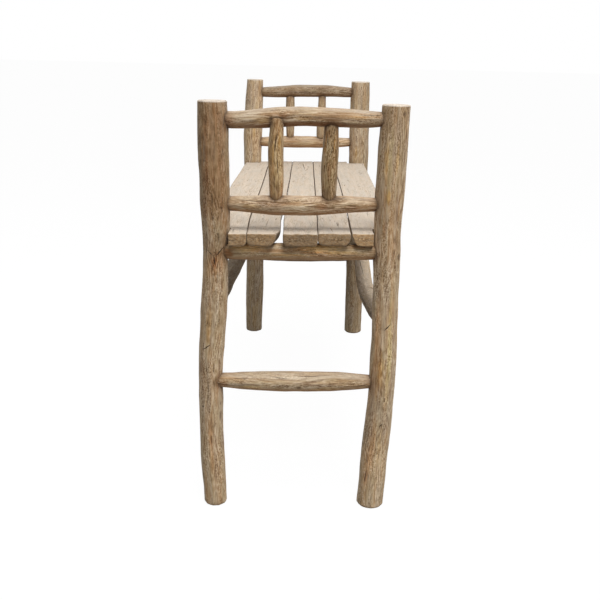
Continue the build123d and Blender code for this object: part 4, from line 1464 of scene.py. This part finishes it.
def make_crack_group():
    """A short crack that tapers to both ends, on one side of the wood."""
    group, sheet, given, result = new_group(
        "Crack",
        [*SPOT_SOCKETS, OUTWARD_SOCKET, ("Lean", FLOAT, 0.0), ("Length", FLOAT, 30.0), ("Width", FLOAT, 1.0)],
        [("Crack", FLOAT)],
    )
    place = sheet.wobbled(given["Place"], (0.13, 0.13, 0.13), 3.0, 0.6, 2.6)
    away = sheet.vector("SUBTRACT", place, given["Centre"])
    aside = sheet.vector("DOT_PRODUCT", away, given["Across"])
    along = sheet.vector("DOT_PRODUCT", away, (0.0, 0.0, 1.0))
    lean_cos, lean_sin = sheet.math("COSINE", given["Lean"]), sheet.math("SINE", given["Lean"])
    run = sheet.math("ADD", sheet.times(along, lean_cos), sheet.times(aside, lean_sin))
    off = sheet.math("SUBTRACT", sheet.times(aside, lean_cos), sheet.times(along, lean_sin))
    part = sheet.math("DIVIDE", sheet.times(run, 2.0), given["Length"])
    taper = sheet.math("SUBTRACT", 1.0, sheet.times(part, part), clamp=True)
    half_width = sheet.times(sheet.times(taper, given["Width"]), 0.5)
    depth = sheet.math("SUBTRACT", half_width, sheet.math("ABSOLUTE", off))
    mask = sheet.times(sheet.spread(depth, -0.12, 0.22), sheet.spread(taper, 0.0, 0.08))
    same_side = sheet.spread(sheet.vector("DOT_PRODUCT", away, given["Outward"]), -13.0, -9.0)
    half_length = sheet.times(given["Length"], 0.55)
    past_end = sheet.math("SUBTRACT", sheet.vector("LENGTH", away), half_length)
    mask = sheet.times(sheet.times(mask, same_side), sheet.spread(past_end, 4.0, 8.0, 1.0, 0.0))
    sheet.feed(result["Crack"], mask)
    return group


def make_mark_group():
    """A soft-edged mark that is long with the grain."""
    group, sheet, given, result = new_group(
        "Mark",
        [*SPOT_SOCKETS, OUTWARD_SOCKET, ("Length", FLOAT, 30.0), ("Width", FLOAT, 8.0)],
        [("Mark", FLOAT)],
    )
    place = sheet.wobbled(given["Place"], (0.2, 0.2, 0.07), 3.0, 0.6, 7.0)
    away = sheet.vector("SUBTRACT", place, given["Centre"])
    run = sheet.vector("DOT_PRODUCT", away, (0.0, 0.0, 2.0))
    run = sheet.math("DIVIDE", run, given["Length"])
    aside = sheet.times(sheet.vector("DOT_PRODUCT", away, given["Across"]), 2.0)
    aside = sheet.math("DIVIDE", aside, given["Width"])
    depth = sheet.math("DIVIDE", sheet.vector("DOT_PRODUCT", away, given["Outward"]), 14.0)
    reach = sheet.vector("LENGTH", sheet.joined(run, aside, depth))
    reach = sheet.swing(sheet.layer(given["Place"], (0.8, 0.8, 0.12), 2.0, 0.6), 1.1, reach)
    sheet.feed(result["Mark"], sheet.spread(reach, 0.35, 1.15, 1.0, 0.0, smooth=True))
    return group


GROUP_MAKERS = {
    "Weathered Grain": make_grain_group,
    "Knot": make_knot_group,
    "Crack": make_crack_group,
    "Mark": make_mark_group,
}
GROUPS = {}


def group_node(sheet, name, inputs):
    """Places a shared group, which is made the first time that it is asked for."""
    if name not in GROUPS:
        GROUPS[name] = GROUP_MAKERS[name]()
    return sheet.add("ShaderNodeGroup", inputs, node_tree=GROUPS[name]).outputs


def empty_sheet(owner):
    """The sheet of a material or a world, with its nodes cleared away."""
    owner.use_nodes = True
    owner.node_tree.nodes.clear()
    return NodeSheet(owner.node_tree)


def plain_material(name):
    """A new material with a Principled shader, and the sheet that its nodes go on."""
    material = bpy.data.materials.new(name)
    sheet = empty_sheet(material)
    shader = sheet.add("ShaderNodeBsdfPrincipled")
    sheet.add("ShaderNodeOutputMaterial", {"Surface": shader.outputs[0]})
    return material, sheet, shader


def shaded(values, factor):
    """A colour made darker or lighter."""
    return tuple(min(value * factor, 1.0) for value in values)


def grain_colours(colours, factor):
    """The colours for the grain group, at a piece's own shade. Dirt is the same on all."""
    return {
        "Pale": shaded(colours.pale, factor),
        "Middle": shaded(colours.middle, factor),
        "Dark": shaded(colours.dark, factor),
        "Warm": shaded(colours.warm, factor),
        "Silver": shaded(colours.silver, factor),
        "Soil": tuple(colours.soil_and_shade),
    }


def on_skin(log, along, turn):
    """A place on a log's skin in grain coordinates, and the ways across the grain and outward."""
    _, radius = log.at(along)
    angle = radians(turn)
    return {
        "Centre": (radius * cos(angle), radius * sin(angle), along),
        "Across": (-sin(angle), cos(angle), 0.0),
        "Outward": (cos(angle), sin(angle), 0.0),
    }


def on_plank(along, across):
    """A place on a plank's top in grain coordinates, and the ways across the grain and outward."""
    return {
        "Centre": (across, PLANK_THICKNESS, along),
        "Across": (1.0, 0.0, 0.0),
        "Outward": (0.0, 1.0, 0.0),
    }


def add_cracks(sheet, place, cracks):
    """The mask of all the cracks in a list of (spot, lean, length, width)."""
    mask = 0.0
    for spot, lean, crack_length, width in cracks:
        size = {"Lean": radians(lean), "Length": crack_length, "Width": width}
        crack = group_node(sheet, "Crack", {"Place": place, **spot, **size})
        mask = sheet.math("MAXIMUM", mask, crack["Crack"])
    return mask


def finish_wood(sheet, shader, tone, height, roughness, fibre_depth):
    """Feeds the colour, the relief and the roughness of wood to its shader."""
    bump = sheet.add("ShaderNodeBump", {"Height": height, "Strength": 0.8, "Distance": fibre_depth})
    sheet.feed(shader.inputs["Base Color"], tone)
    sheet.feed(shader.inputs["Roughness"], roughness)
    sheet.feed(shader.inputs["Normal"], bump.outputs["Normal"])
    shader.inputs["Specular IOR Level"].default_value = 0.25


def weathered_tone_with_painted_light(sheet, tone, name, colours, straight, sawn):
    """A log's colour as the weather, shelter, hands, marks and the saw have left it, with painted shade on
    its undersides and on the inner sides of the side stretchers, and the painted light and shade of some
    marks.
    """
    shade, _, weathered, _ = SHADES[name]
    facing = sheet.parts(sheet.add("ShaderNodeTexCoord").outputs["Normal"])
    patchy = sheet.noise(sheet.scaled(straight, 0.06), 3.0, 0.6)
    patchy = sheet.spread(patchy, 0.3, 0.65, 0.45, 1.0)
    bleach = sheet.times(sheet.spread(facing["Z"], 0.35, 0.95, smooth=True), patchy)
    bleach = sheet.times(bleach, sheet.spread(sawn, 0.0, 1.0, 1.0, 0.0))
    tone = sheet.mix(sheet.times(bleach, weathered), tone, shaded(colours.bleached, shade))
    # undersides: browner out of the weather, and darker and redder as painted shade
    shelter_and_shade = sheet.spread(facing["Z"], -0.2, -0.8, 0.0, 0.7, smooth=True)
    tone = sheet.mix(shelter_and_shade, tone, shaded(colours.sheltered_and_shaded, shade))
    # painted shade on the inner side of a side stretcher
    if name in PAINTED_SHADE_SIDES:
        sign, strength = PAINTED_SHADE_SIDES[name]
        inward = sheet.spread(sheet.times(facing["Y"], sign), 0.1, 0.9, 0.0, strength, smooth=True)
        tone = sheet.tint(inward, tone, MARK_TINTS["soil_and_shade"])
    if name in HANDLED:
        low, high, strength = HANDLED[name]
        grime = sheet.spread(sheet.parts(straight)["Z"], low, high, smooth=True)
        grime = sheet.times(sheet.times(grime, patchy), strength)
        tone = sheet.tint(grime, tone, tuple(colours.handled))
    for along, turn, mark_length, width, kind, strength in MARKS.get(name, []):
        spot = on_skin(LOGS[name], along, turn)
        size = {"Length": mark_length, "Width": width}
        mark = group_node(sheet, "Mark", {"Place": straight, **spot, **size})
        tone = sheet.tint(sheet.times(mark["Mark"], strength), tone, MARK_TINTS[kind])
    return sheet.mix(sheet.times(sawn, 0.9), tone, tuple(colours.sawn))


def log_material(name, colours, fibre_depth):
    """The finish of one log, with its own knots, cracks and marks."""
    log = LOGS[name]
    shade, warmth, _, contrast = SHADES[name]
    material, sheet, shader = plain_material(name + "_wood")
    place = sheet.add("ShaderNodeAttribute", attribute_name="grain_place").outputs["Vector"]
    soil_and_shade = sheet.add("ShaderNodeAttribute", attribute_name="soil_and_shade").outputs["Fac"]
    sawn = sheet.add("ShaderNodeAttribute", attribute_name="sawn").outputs["Fac"]
    straight = place
    discs, halos, knot_rings = 0.0, 0.0, 0.0
    for along, turn, size, _, _ in KNOTS.get(name, []):
        spot = on_skin(log, along, turn)
        inputs = {"Place": place, "Centre": spot["Centre"], "Across": spot["Across"], "Size": size}
        knot = group_node(sheet, "Knot", inputs)
        place = knot["Place"]
        discs = sheet.math("MAXIMUM", discs, knot["Disc"])
        halos = sheet.math("MAXIMUM", halos, knot["Halo"])
        knot_rings = sheet.math("MAXIMUM", knot_rings, sheet.times(knot["Rings"], knot["Disc"]))
    spots = [(on_skin(log, along, turn), *rest) for along, turn, *rest in CRACKS.get(name, [])]
    cracks = add_cracks(sheet, straight, spots)
    grain = group_node(
        sheet,
        "Weathered Grain",
        {
            "Place": place,
            "Pith": (2.0, -1.5, 0.0),
            "Seed": 0.37 * (1 + sorted(LOGS).index(name)),
            "Warmth": warmth,
            "Contrast": contrast,
            **grain_colours(colours, shade),
        },
    )
    tone = weathered_tone_with_painted_light(sheet, grain["Color"], name, colours, straight, sawn)
    # the knots, each with a dark halo
    tone = sheet.mix(sheet.times(halos, 0.35), tone, shaded(colours.dark, shade))
    knot_tone = sheet.mix(knot_rings, shaded(colours.soil_and_shade, 1.6), shaded(colours.dark, shade))
    tone = sheet.mix(sheet.times(discs, 0.8), tone, knot_tone)
    # dirt and painted shade in the joints, dirt in the cracks, with a brown stain round it
    smudge = sheet.noise(sheet.scaled(straight, 0.3), 3.0, 0.6)
    smudge = sheet.math("MULTIPLY", soil_and_shade, sheet.spread(smudge, 0.25, 0.7, 0.35, 1.0), clamp=True)
    stain = sheet.times(sheet.math("POWER", soil_and_shade, 0.25), 0.55)
    tone = sheet.tint(stain, tone, MARK_TINTS["rust"])
    tone = sheet.mix(sheet.times(smudge, 0.9), tone, shaded(colours.soil_and_shade, 0.7))
    tone = sheet.mix(cracks, tone, shaded(colours.soil_and_shade, 0.7))
    height = sheet.math("MULTIPLY_ADD", knot_rings, 0.5, grain["Height"])
    height = sheet.math("MULTIPLY_ADD", cracks, -CRACK_DEPTH, height)
    finish_wood(sheet, shader, tone, height, grain["Roughness"], fibre_depth)
    shader.inputs["Sheen Weight"].default_value = 0.28
    shader.inputs["Sheen Roughness"].default_value = 0.3
    shader.inputs["Sheen Tint"].default_value = (1.0, 0.86, 0.68, 1.0)
    return material


def plank_material(name, colours, fibre_depth):
    """The finish of one sawn plank: pale, worn top, brown sawn ends and dirty seams."""
    (pith_across, pith_above), (shade, end_shade), checks = PLANK_GRAIN[name]
    number = sorted(PLANK_GRAIN).index(name)
    material, sheet, shader = plain_material(name + "_wood")
    coordinates = sheet.add("ShaderNodeTexCoord").outputs
    metres = sheet.vector("SUBTRACT", coordinates["Object"], tuple(SEAT_MIDDLE * MM))
    in_mm = sheet.parts(sheet.scaled(metres, 1 / MM))
    place = sheet.joined(in_mm["Y"], in_mm["Z"], in_mm["X"])
    facing = sheet.parts(coordinates["Normal"])
    spots = [(on_plank(along, across), *rest) for along, across, *rest in checks]
    cracks = add_cracks(sheet, place, spots)
    grain = group_node(
        sheet,
        "Weathered Grain",
        {
            "Place": place,
            "Pith": (pith_across, pith_above, 0.0),
            "Seed": 5.0 + 0.53 * number,
            "Streak Width": 3.2,
            "Streak Length": 320.0,
            "Ring Width": 5.5,
            "Ring Strength": 0.2,
            "Flecks": 0.22,
            "Pits": 0.12,
            "Warmth": 0.45,
            "Contrast": 0.6,
            **grain_colours(colours, shade),
        },
    )
    tone = grain["Color"]
    # the sawn ends: brown and mottled
    end = sheet.spread(sheet.math("ABSOLUTE", facing["X"]), 0.45, 0.8, smooth=True)
    sawn = shaded(colours.sawn, end_shade)
    end_tone = sheet.mix(0.7, sheet.tint(0.55, tone, sawn), sawn)
    mottle = sheet.three_layers(place, (0.22, 0.4, 0.1), 4.0, 0.7)
    end_tone = sheet.tint(sheet.spread(mottle[0], 0.44, 0.58, 0.0, 0.75), end_tone, (0.66, 0.54, 0.42))
    end_tone = sheet.tint(sheet.spread(mottle[1], 0.46, 0.60, 0.0, 0.75), end_tone, (1.34, 1.26, 1.08))
    # the bark edges and the underside: browner than the top
    low_tone = sheet.mix(0.6, tone, shaded(colours.sawn, shade * 1.1))
    side = sheet.spread(facing["Z"], 0.1, 0.75, 1.0, 0.0, smooth=True)
    tone = sheet.mix(side, tone, low_tone)
    # the seams: the sides that face the next plank are dark, less so near the right end
    for faces_seam, sign in ((number > 0, -1.0), (number < len(PLANK_GRAIN) - 1, 1.0)):
        if faces_seam:
            seam = sheet.spread(sheet.times(facing["Y"], sign), 0.45, 0.85, smooth=True)
            closed = sheet.spread(in_mm["X"], 440.0, 500.0, 0.92, 0.3)
            tone = sheet.mix(sheet.times(seam, closed), tone, tuple(colours.soil_and_shade))
    tone = sheet.mix(end, tone, end_tone)
    # a patchy grey band across the top near the right end, and a paler rim at both ends
    upward = sheet.spread(facing["Z"], 0.6, 0.95)
    drift = sheet.layer(place, (0.035, 0.03, 0.0), 3.0, 0.6)
    shifted = sheet.swing(drift, 80.0, in_mm["X"])
    stain = sheet.times(
        sheet.spread(shifted, 482.0, 512.0), sheet.spread(shifted, 512.0, 530.0, 1.0, 0.0)
    )
    smudge = sheet.layer(place, (0.05, 0.05, 0.03), 3.0, 0.65)
    stain = sheet.times(stain, sheet.spread(smudge, 0.42, 0.62))
    tone = sheet.mix(sheet.times(sheet.times(stain, upward), 0.26), tone, (0.32, 0.29, 0.27))
    rim = sheet.times(sheet.spread(sheet.math("ABSOLUTE", shifted), 512.0, 536.0), upward)
    tone = sheet.mix(sheet.times(rim, 0.4), tone, (0.60, 0.52, 0.41))
    tone = sheet.mix(cracks, tone, shaded(colours.soil_and_shade, 0.8))
    height = sheet.math("MULTIPLY_ADD", cracks, -CRACK_DEPTH, grain["Height"])
    finish_wood(sheet, shader, tone, height, grain["Roughness"], fibre_depth)
    return material


def screw_material():
    """Dull, weathered zinc with a little rust."""
    material, sheet, shader = plain_material("screw_steel_dull")
    place = sheet.scaled(sheet.add("ShaderNodeTexCoord").outputs["Object"], 1 / MM)
    rust = sheet.spread(sheet.noise(sheet.scaled(place, 0.4), 3.0, 0.6), 0.5, 0.65)
    scratches = sheet.noise(sheet.scaled(place, 1.5), 2.0, 0.6)
    tone = sheet.mix(rust, (0.32, 0.30, 0.28), (0.20, 0.10, 0.05))
    sheet.feed(shader.inputs["Base Color"], tone)
    sheet.feed(shader.inputs["Metallic"], sheet.spread(rust, 0.0, 1.0, 0.9, 0.3))
    sheet.feed(shader.inputs["Roughness"], sheet.spread(scratches, 0.3, 0.7, 0.4, 0.65))
    bump = sheet.add("ShaderNodeBump", {"Height": scratches, "Strength": 0.4, "Distance": 0.0002})
    sheet.feed(shader.inputs["Normal"], bump.outputs["Normal"])
    return material


# ------------------------------------------------------------------ operators
def add_log(name, profile, around, settings):
    """Adds one log with its finish."""
    material = log_material(name, settings.log_colours, settings.log_surface.fibre)
    return make_log(name, profile, around, material, settings.log_surface)


def add_rail(name, tenon, around, settings):
    """Adds a rail or a stretcher between its two posts."""
    log = LOGS[name]
    radii = [LOGS[host].at_height(log.start.z)[1] for host in hosts_of(name)]
    return add_log(name, rail_profile(log, radii, tenon), around, settings)


def plane_bearer_flat(bearer):
    """Planes the flat on top of a bearer that the planks lie on."""
    bm = bmesh.new()
    bm.from_mesh(bearer.data)
    middle = SEAT_MIDDLE * MM
    for vert in bm.verts:
        above = (vert.co - middle).dot(SEAT_UP) + BEARER_FLAT_SINK * MM
        if above > 0 and abs(vert.co.y) < BEARER_FLAT_REACH * MM:
            vert.co -= SEAT_UP * above
    bm.to_mesh(bearer.data)
    bm.free()


class BENCH_OT_add_posts(bpy.types.Operator):
    """Adds the four crooked corner posts"""

    bl_idname = "bench.add_posts"
    bl_label = "Corner Posts"

    def execute(self, context):
        for name in POST_SHAPES:
            add_log(name, post_profile(LOGS[name]), POST_POINTS, context.scene.log_bench)
        return {"FINISHED"}


class BENCH_OT_add_frame_rails(bpy.types.Operator):
    """Adds the arm rails, the lower arm rails, the seat bearers and the low stretchers"""

    bl_idname = "bench.add_frame_rails"
    bl_label = "Frame Rails"

    def execute(self, context):
        for name, (_, _, tenon, _) in FRAME_RAIL_SHAPES.items():
            rail = add_rail(name, tenon, FRAME_RAIL_POINTS, context.scene.log_bench)
            if name.endswith("seat_bearer"):
                plane_bearer_flat(rail)
        return {"FINISHED"}


class BENCH_OT_add_side_stretchers(bpy.types.Operator):
    """Adds the two long, crooked side stretchers"""

    bl_idname = "bench.add_side_stretchers"
    bl_label = "Side Stretchers"

    def execute(self, context):
        for name, (_, _, tenon, _) in SIDE_STRETCHER_SHAPES.items():
            add_rail(name, tenon, SIDE_STRETCHER_POINTS, context.scene.log_bench)
        return {"FINISHED"}


class BENCH_OT_add_spindles(bpy.types.Operator):
    """Adds the four spindles under the arm rails"""

    bl_idname = "bench.add_spindles"
    bl_label = "Spindles"

    def execute(self, context):
        for name in SPINDLE_SHAPES:
            head = LOGS[name].length + (LAPPED_HEAD if name == LAPPED_SPINDLE else -SPINDLE_HEAD)
            profile = spindle_profile(SPINDLE_FOOT, head)
            add_log(name, profile, SPINDLE_POINTS, context.scene.log_bench)
        return {"FINISHED"}


class BENCH_OT_add_seat(bpy.types.Operator):
    """Adds the five waney planks of the seat"""

    bl_idname = "bench.add_seat"
    bl_label = "Seat Planks"

    def execute(self, context):
        settings = context.scene.log_bench
        for name in PLANK_SHAPES:
            material = plank_material(name, settings.seat_colours, settings.seat_surface.fibre)
            make_plank(name, material, settings.seat_surface)
        return {"FINISHED"}


class BENCH_OT_finish_screws(bpy.types.Operator):
    """Gives the screws their dull steel"""

    bl_idname = "bench.finish_screws"
    bl_label = "Screws"

    def execute(self, context):
        steel = screw_material()
        for name in ("seat_screws", "bearer_screws"):
            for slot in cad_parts[name].material_slots:
                slot.material = steel
        return {"FINISHED"}


class BENCH_OT_set_stage(bpy.types.Operator):
    """Sets the floor, the lamps and the camera"""

    bl_idname = "bench.set_stage"
    bl_label = "Stage"

    def execute(self, context):
        scene = context.scene
        stage = scene.log_bench.stage
        scene.view_settings.view_transform = "Standard"
        set_floor(stage)
        set_lamps(scene, stage)
        set_camera(scene)
        return {"FINISHED"}


FLOOR_HALF_SIZE = 40.0
FLOOR_GAP = 0.0005  # the floor lies this far under the feet
CAMERA_PLACE = (1.97448, 0.01854, 0.78633)
CAMERA_PITCH, CAMERA_YAW, CAMERA_ROLL = 0.2725, -0.0113, 0.0238


def set_floor(stage):
    """A wide floor that shows white to the camera and keeps a faint shadow."""
    bm = bmesh.new()
    bmesh.ops.create_grid(bm, x_segments=2, y_segments=2, size=FLOOR_HALF_SIZE)
    bmesh.ops.translate(bm, verts=bm.verts, vec=(0.0, 0.0, -FLOOR_GAP))
    mesh = bpy.data.meshes.new("studio_floor")
    bm.to_mesh(mesh)
    bm.free()
    material = bpy.data.materials.new("studio_floor_white")
    sheet = empty_sheet(material)
    paper = sheet.add("ShaderNodeBsdfDiffuse", {"Color": tuple(stage.floor)})
    white = sheet.add("ShaderNodeEmission", {"Color": (1.0, 1.0, 1.0), "Strength": 1.08})
    seen = sheet.add("ShaderNodeMixShader", {0: 0.9, 1: paper.outputs[0], 2: white.outputs[0]})
    camera_ray = sheet.add("ShaderNodeLightPath").outputs["Is Camera Ray"]
    both = sheet.add("ShaderNodeMixShader", {0: camera_ray, 1: paper.outputs[0], 2: seen.outputs[0]})
    sheet.add("ShaderNodeOutputMaterial", {"Surface": both.outputs[0]})
    mesh.materials.append(material)
    floor = bpy.data.objects.new("studio_floor", mesh)
    bpy.context.scene.collection.objects.link(floor)


def set_lamps(scene, stage):
    """A lamp high over the camera, one overhead, one at the side, and even surroundings."""
    for name, place, target, size, power in (
        ("key_lamp", (1.8, 0.4, 2.9), (0.2, 0.0, 0.4), 1.3, stage.key),
        ("overhead_lamp", (-0.2, 0.0, 3.0), (-0.1, 0.0, 0.4), 2.4, stage.overhead),
        ("side_lamp", (1.3, 2.4, 1.4), (0.2, 0.0, 0.4), 1.4, stage.side),
    ):
        lamp = bpy.data.lights.new(name, "AREA")
        lamp.shape = "SQUARE"
        lamp.size = size
        lamp.energy = power
        holder = bpy.data.objects.new(name, lamp)
        aim = Vector(target) - Vector(place)
        turn = aim.to_track_quat("-Z", "Y").to_matrix().to_4x4()
        holder.matrix_world = Matrix.Translation(place) @ turn
        scene.collection.objects.link(holder)
    world = bpy.data.worlds.new("studio_world")
    sheet = empty_sheet(world)
    even = sheet.add("ShaderNodeBackground", {"Color": (1.0, 1.0, 1.0), "Strength": stage.sky})
    white = sheet.add("ShaderNodeBackground", {"Color": (1.0, 1.0, 1.0), "Strength": 1.0})
    camera_ray = sheet.add("ShaderNodeLightPath").outputs["Is Camera Ray"]
    both = sheet.add("ShaderNodeMixShader", {0: camera_ray, 1: even.outputs[0], 2: white.outputs[0]})
    sheet.add("ShaderNodeOutputWorld", {"Surface": both.outputs[0]})
    scene.world = world


def set_camera(scene):
    """A 54 mm lens past the right end of the bench, a little above its arms."""
    pitch, yaw, roll = CAMERA_PITCH, CAMERA_YAW, CAMERA_ROLL
    forward = Vector((-cos(yaw) * cos(pitch), sin(yaw) * cos(pitch), -sin(pitch)))
    right = Vector((sin(yaw), cos(yaw), 0.0))
    up = right.cross(forward)
    rolled_right = right * cos(roll) + up * sin(roll)
    rolled_up = up * cos(roll) - right * sin(roll)
    lens = bpy.data.cameras.new("bench_camera")
    lens.lens = 54.0
    lens.sensor_width = 36.0
    lens.clip_end = 200.0
    camera = bpy.data.objects.new("bench_camera", lens)
    turn = Matrix((rolled_right, rolled_up, -forward)).transposed().to_4x4()
    camera.matrix_world = Matrix.Translation(CAMERA_PLACE) @ turn
    scene.collection.objects.link(camera)
    scene.camera = camera


# ------------------------------------------------------------------ panel
class BENCH_PT_sidebar(bpy.types.Panel):
    """The bench's settings and the buttons that add its pieces"""

    bl_label = "Log Bench"
    bl_idname = "BENCH_PT_sidebar"
    bl_space_type = "VIEW_3D"
    bl_region_type = "UI"
    bl_category = "Log Bench"

    def draw(self, context):
        settings = context.scene.log_bench
        for group in (
            settings.log_surface,
            settings.seat_surface,
            settings.log_colours,
            settings.seat_colours,
            settings.stage,
        ):
            box = self.layout.box()
            for setting in group.bl_rna.properties:
                if setting.identifier not in {"rna_type", "name"}:
                    box.prop(group, setting.identifier)
        for operator in PIECE_OPERATORS:
            self.layout.operator(operator.bl_idname)


PIECE_OPERATORS = (
    BENCH_OT_set_stage,
    BENCH_OT_add_posts,
    BENCH_OT_add_frame_rails,
    BENCH_OT_add_side_stretchers,
    BENCH_OT_add_spindles,
    BENCH_OT_add_seat,
    BENCH_OT_finish_screws,
)
CLASSES = (
    BENCH_PG_log_surface,
    BENCH_PG_seat_surface,
    BENCH_PG_log_colours,
    BENCH_PG_seat_colours,
    BENCH_PG_stage,
    BENCH_PG_settings,
    *PIECE_OPERATORS,
    BENCH_PT_sidebar,
)


def register():
    for cls in CLASSES:
        bpy.utils.register_class(cls)
    bpy.types.Scene.log_bench = PointerProperty(type=BENCH_PG_settings)


def unregister():
    del bpy.types.Scene.log_bench
    for cls in reversed(CLASSES):
        bpy.utils.unregister_class(cls)


def main():
    """Dresses the bench piece by piece."""
    register()
    bpy.ops.bench.set_stage()
    bpy.ops.bench.add_posts()
    bpy.ops.bench.add_frame_rails()
    bpy.ops.bench.add_side_stretchers()
    bpy.ops.bench.add_spindles()
    bpy.ops.bench.add_seat()
    bpy.ops.bench.finish_screws()


if __name__ == "__main__":
    main()
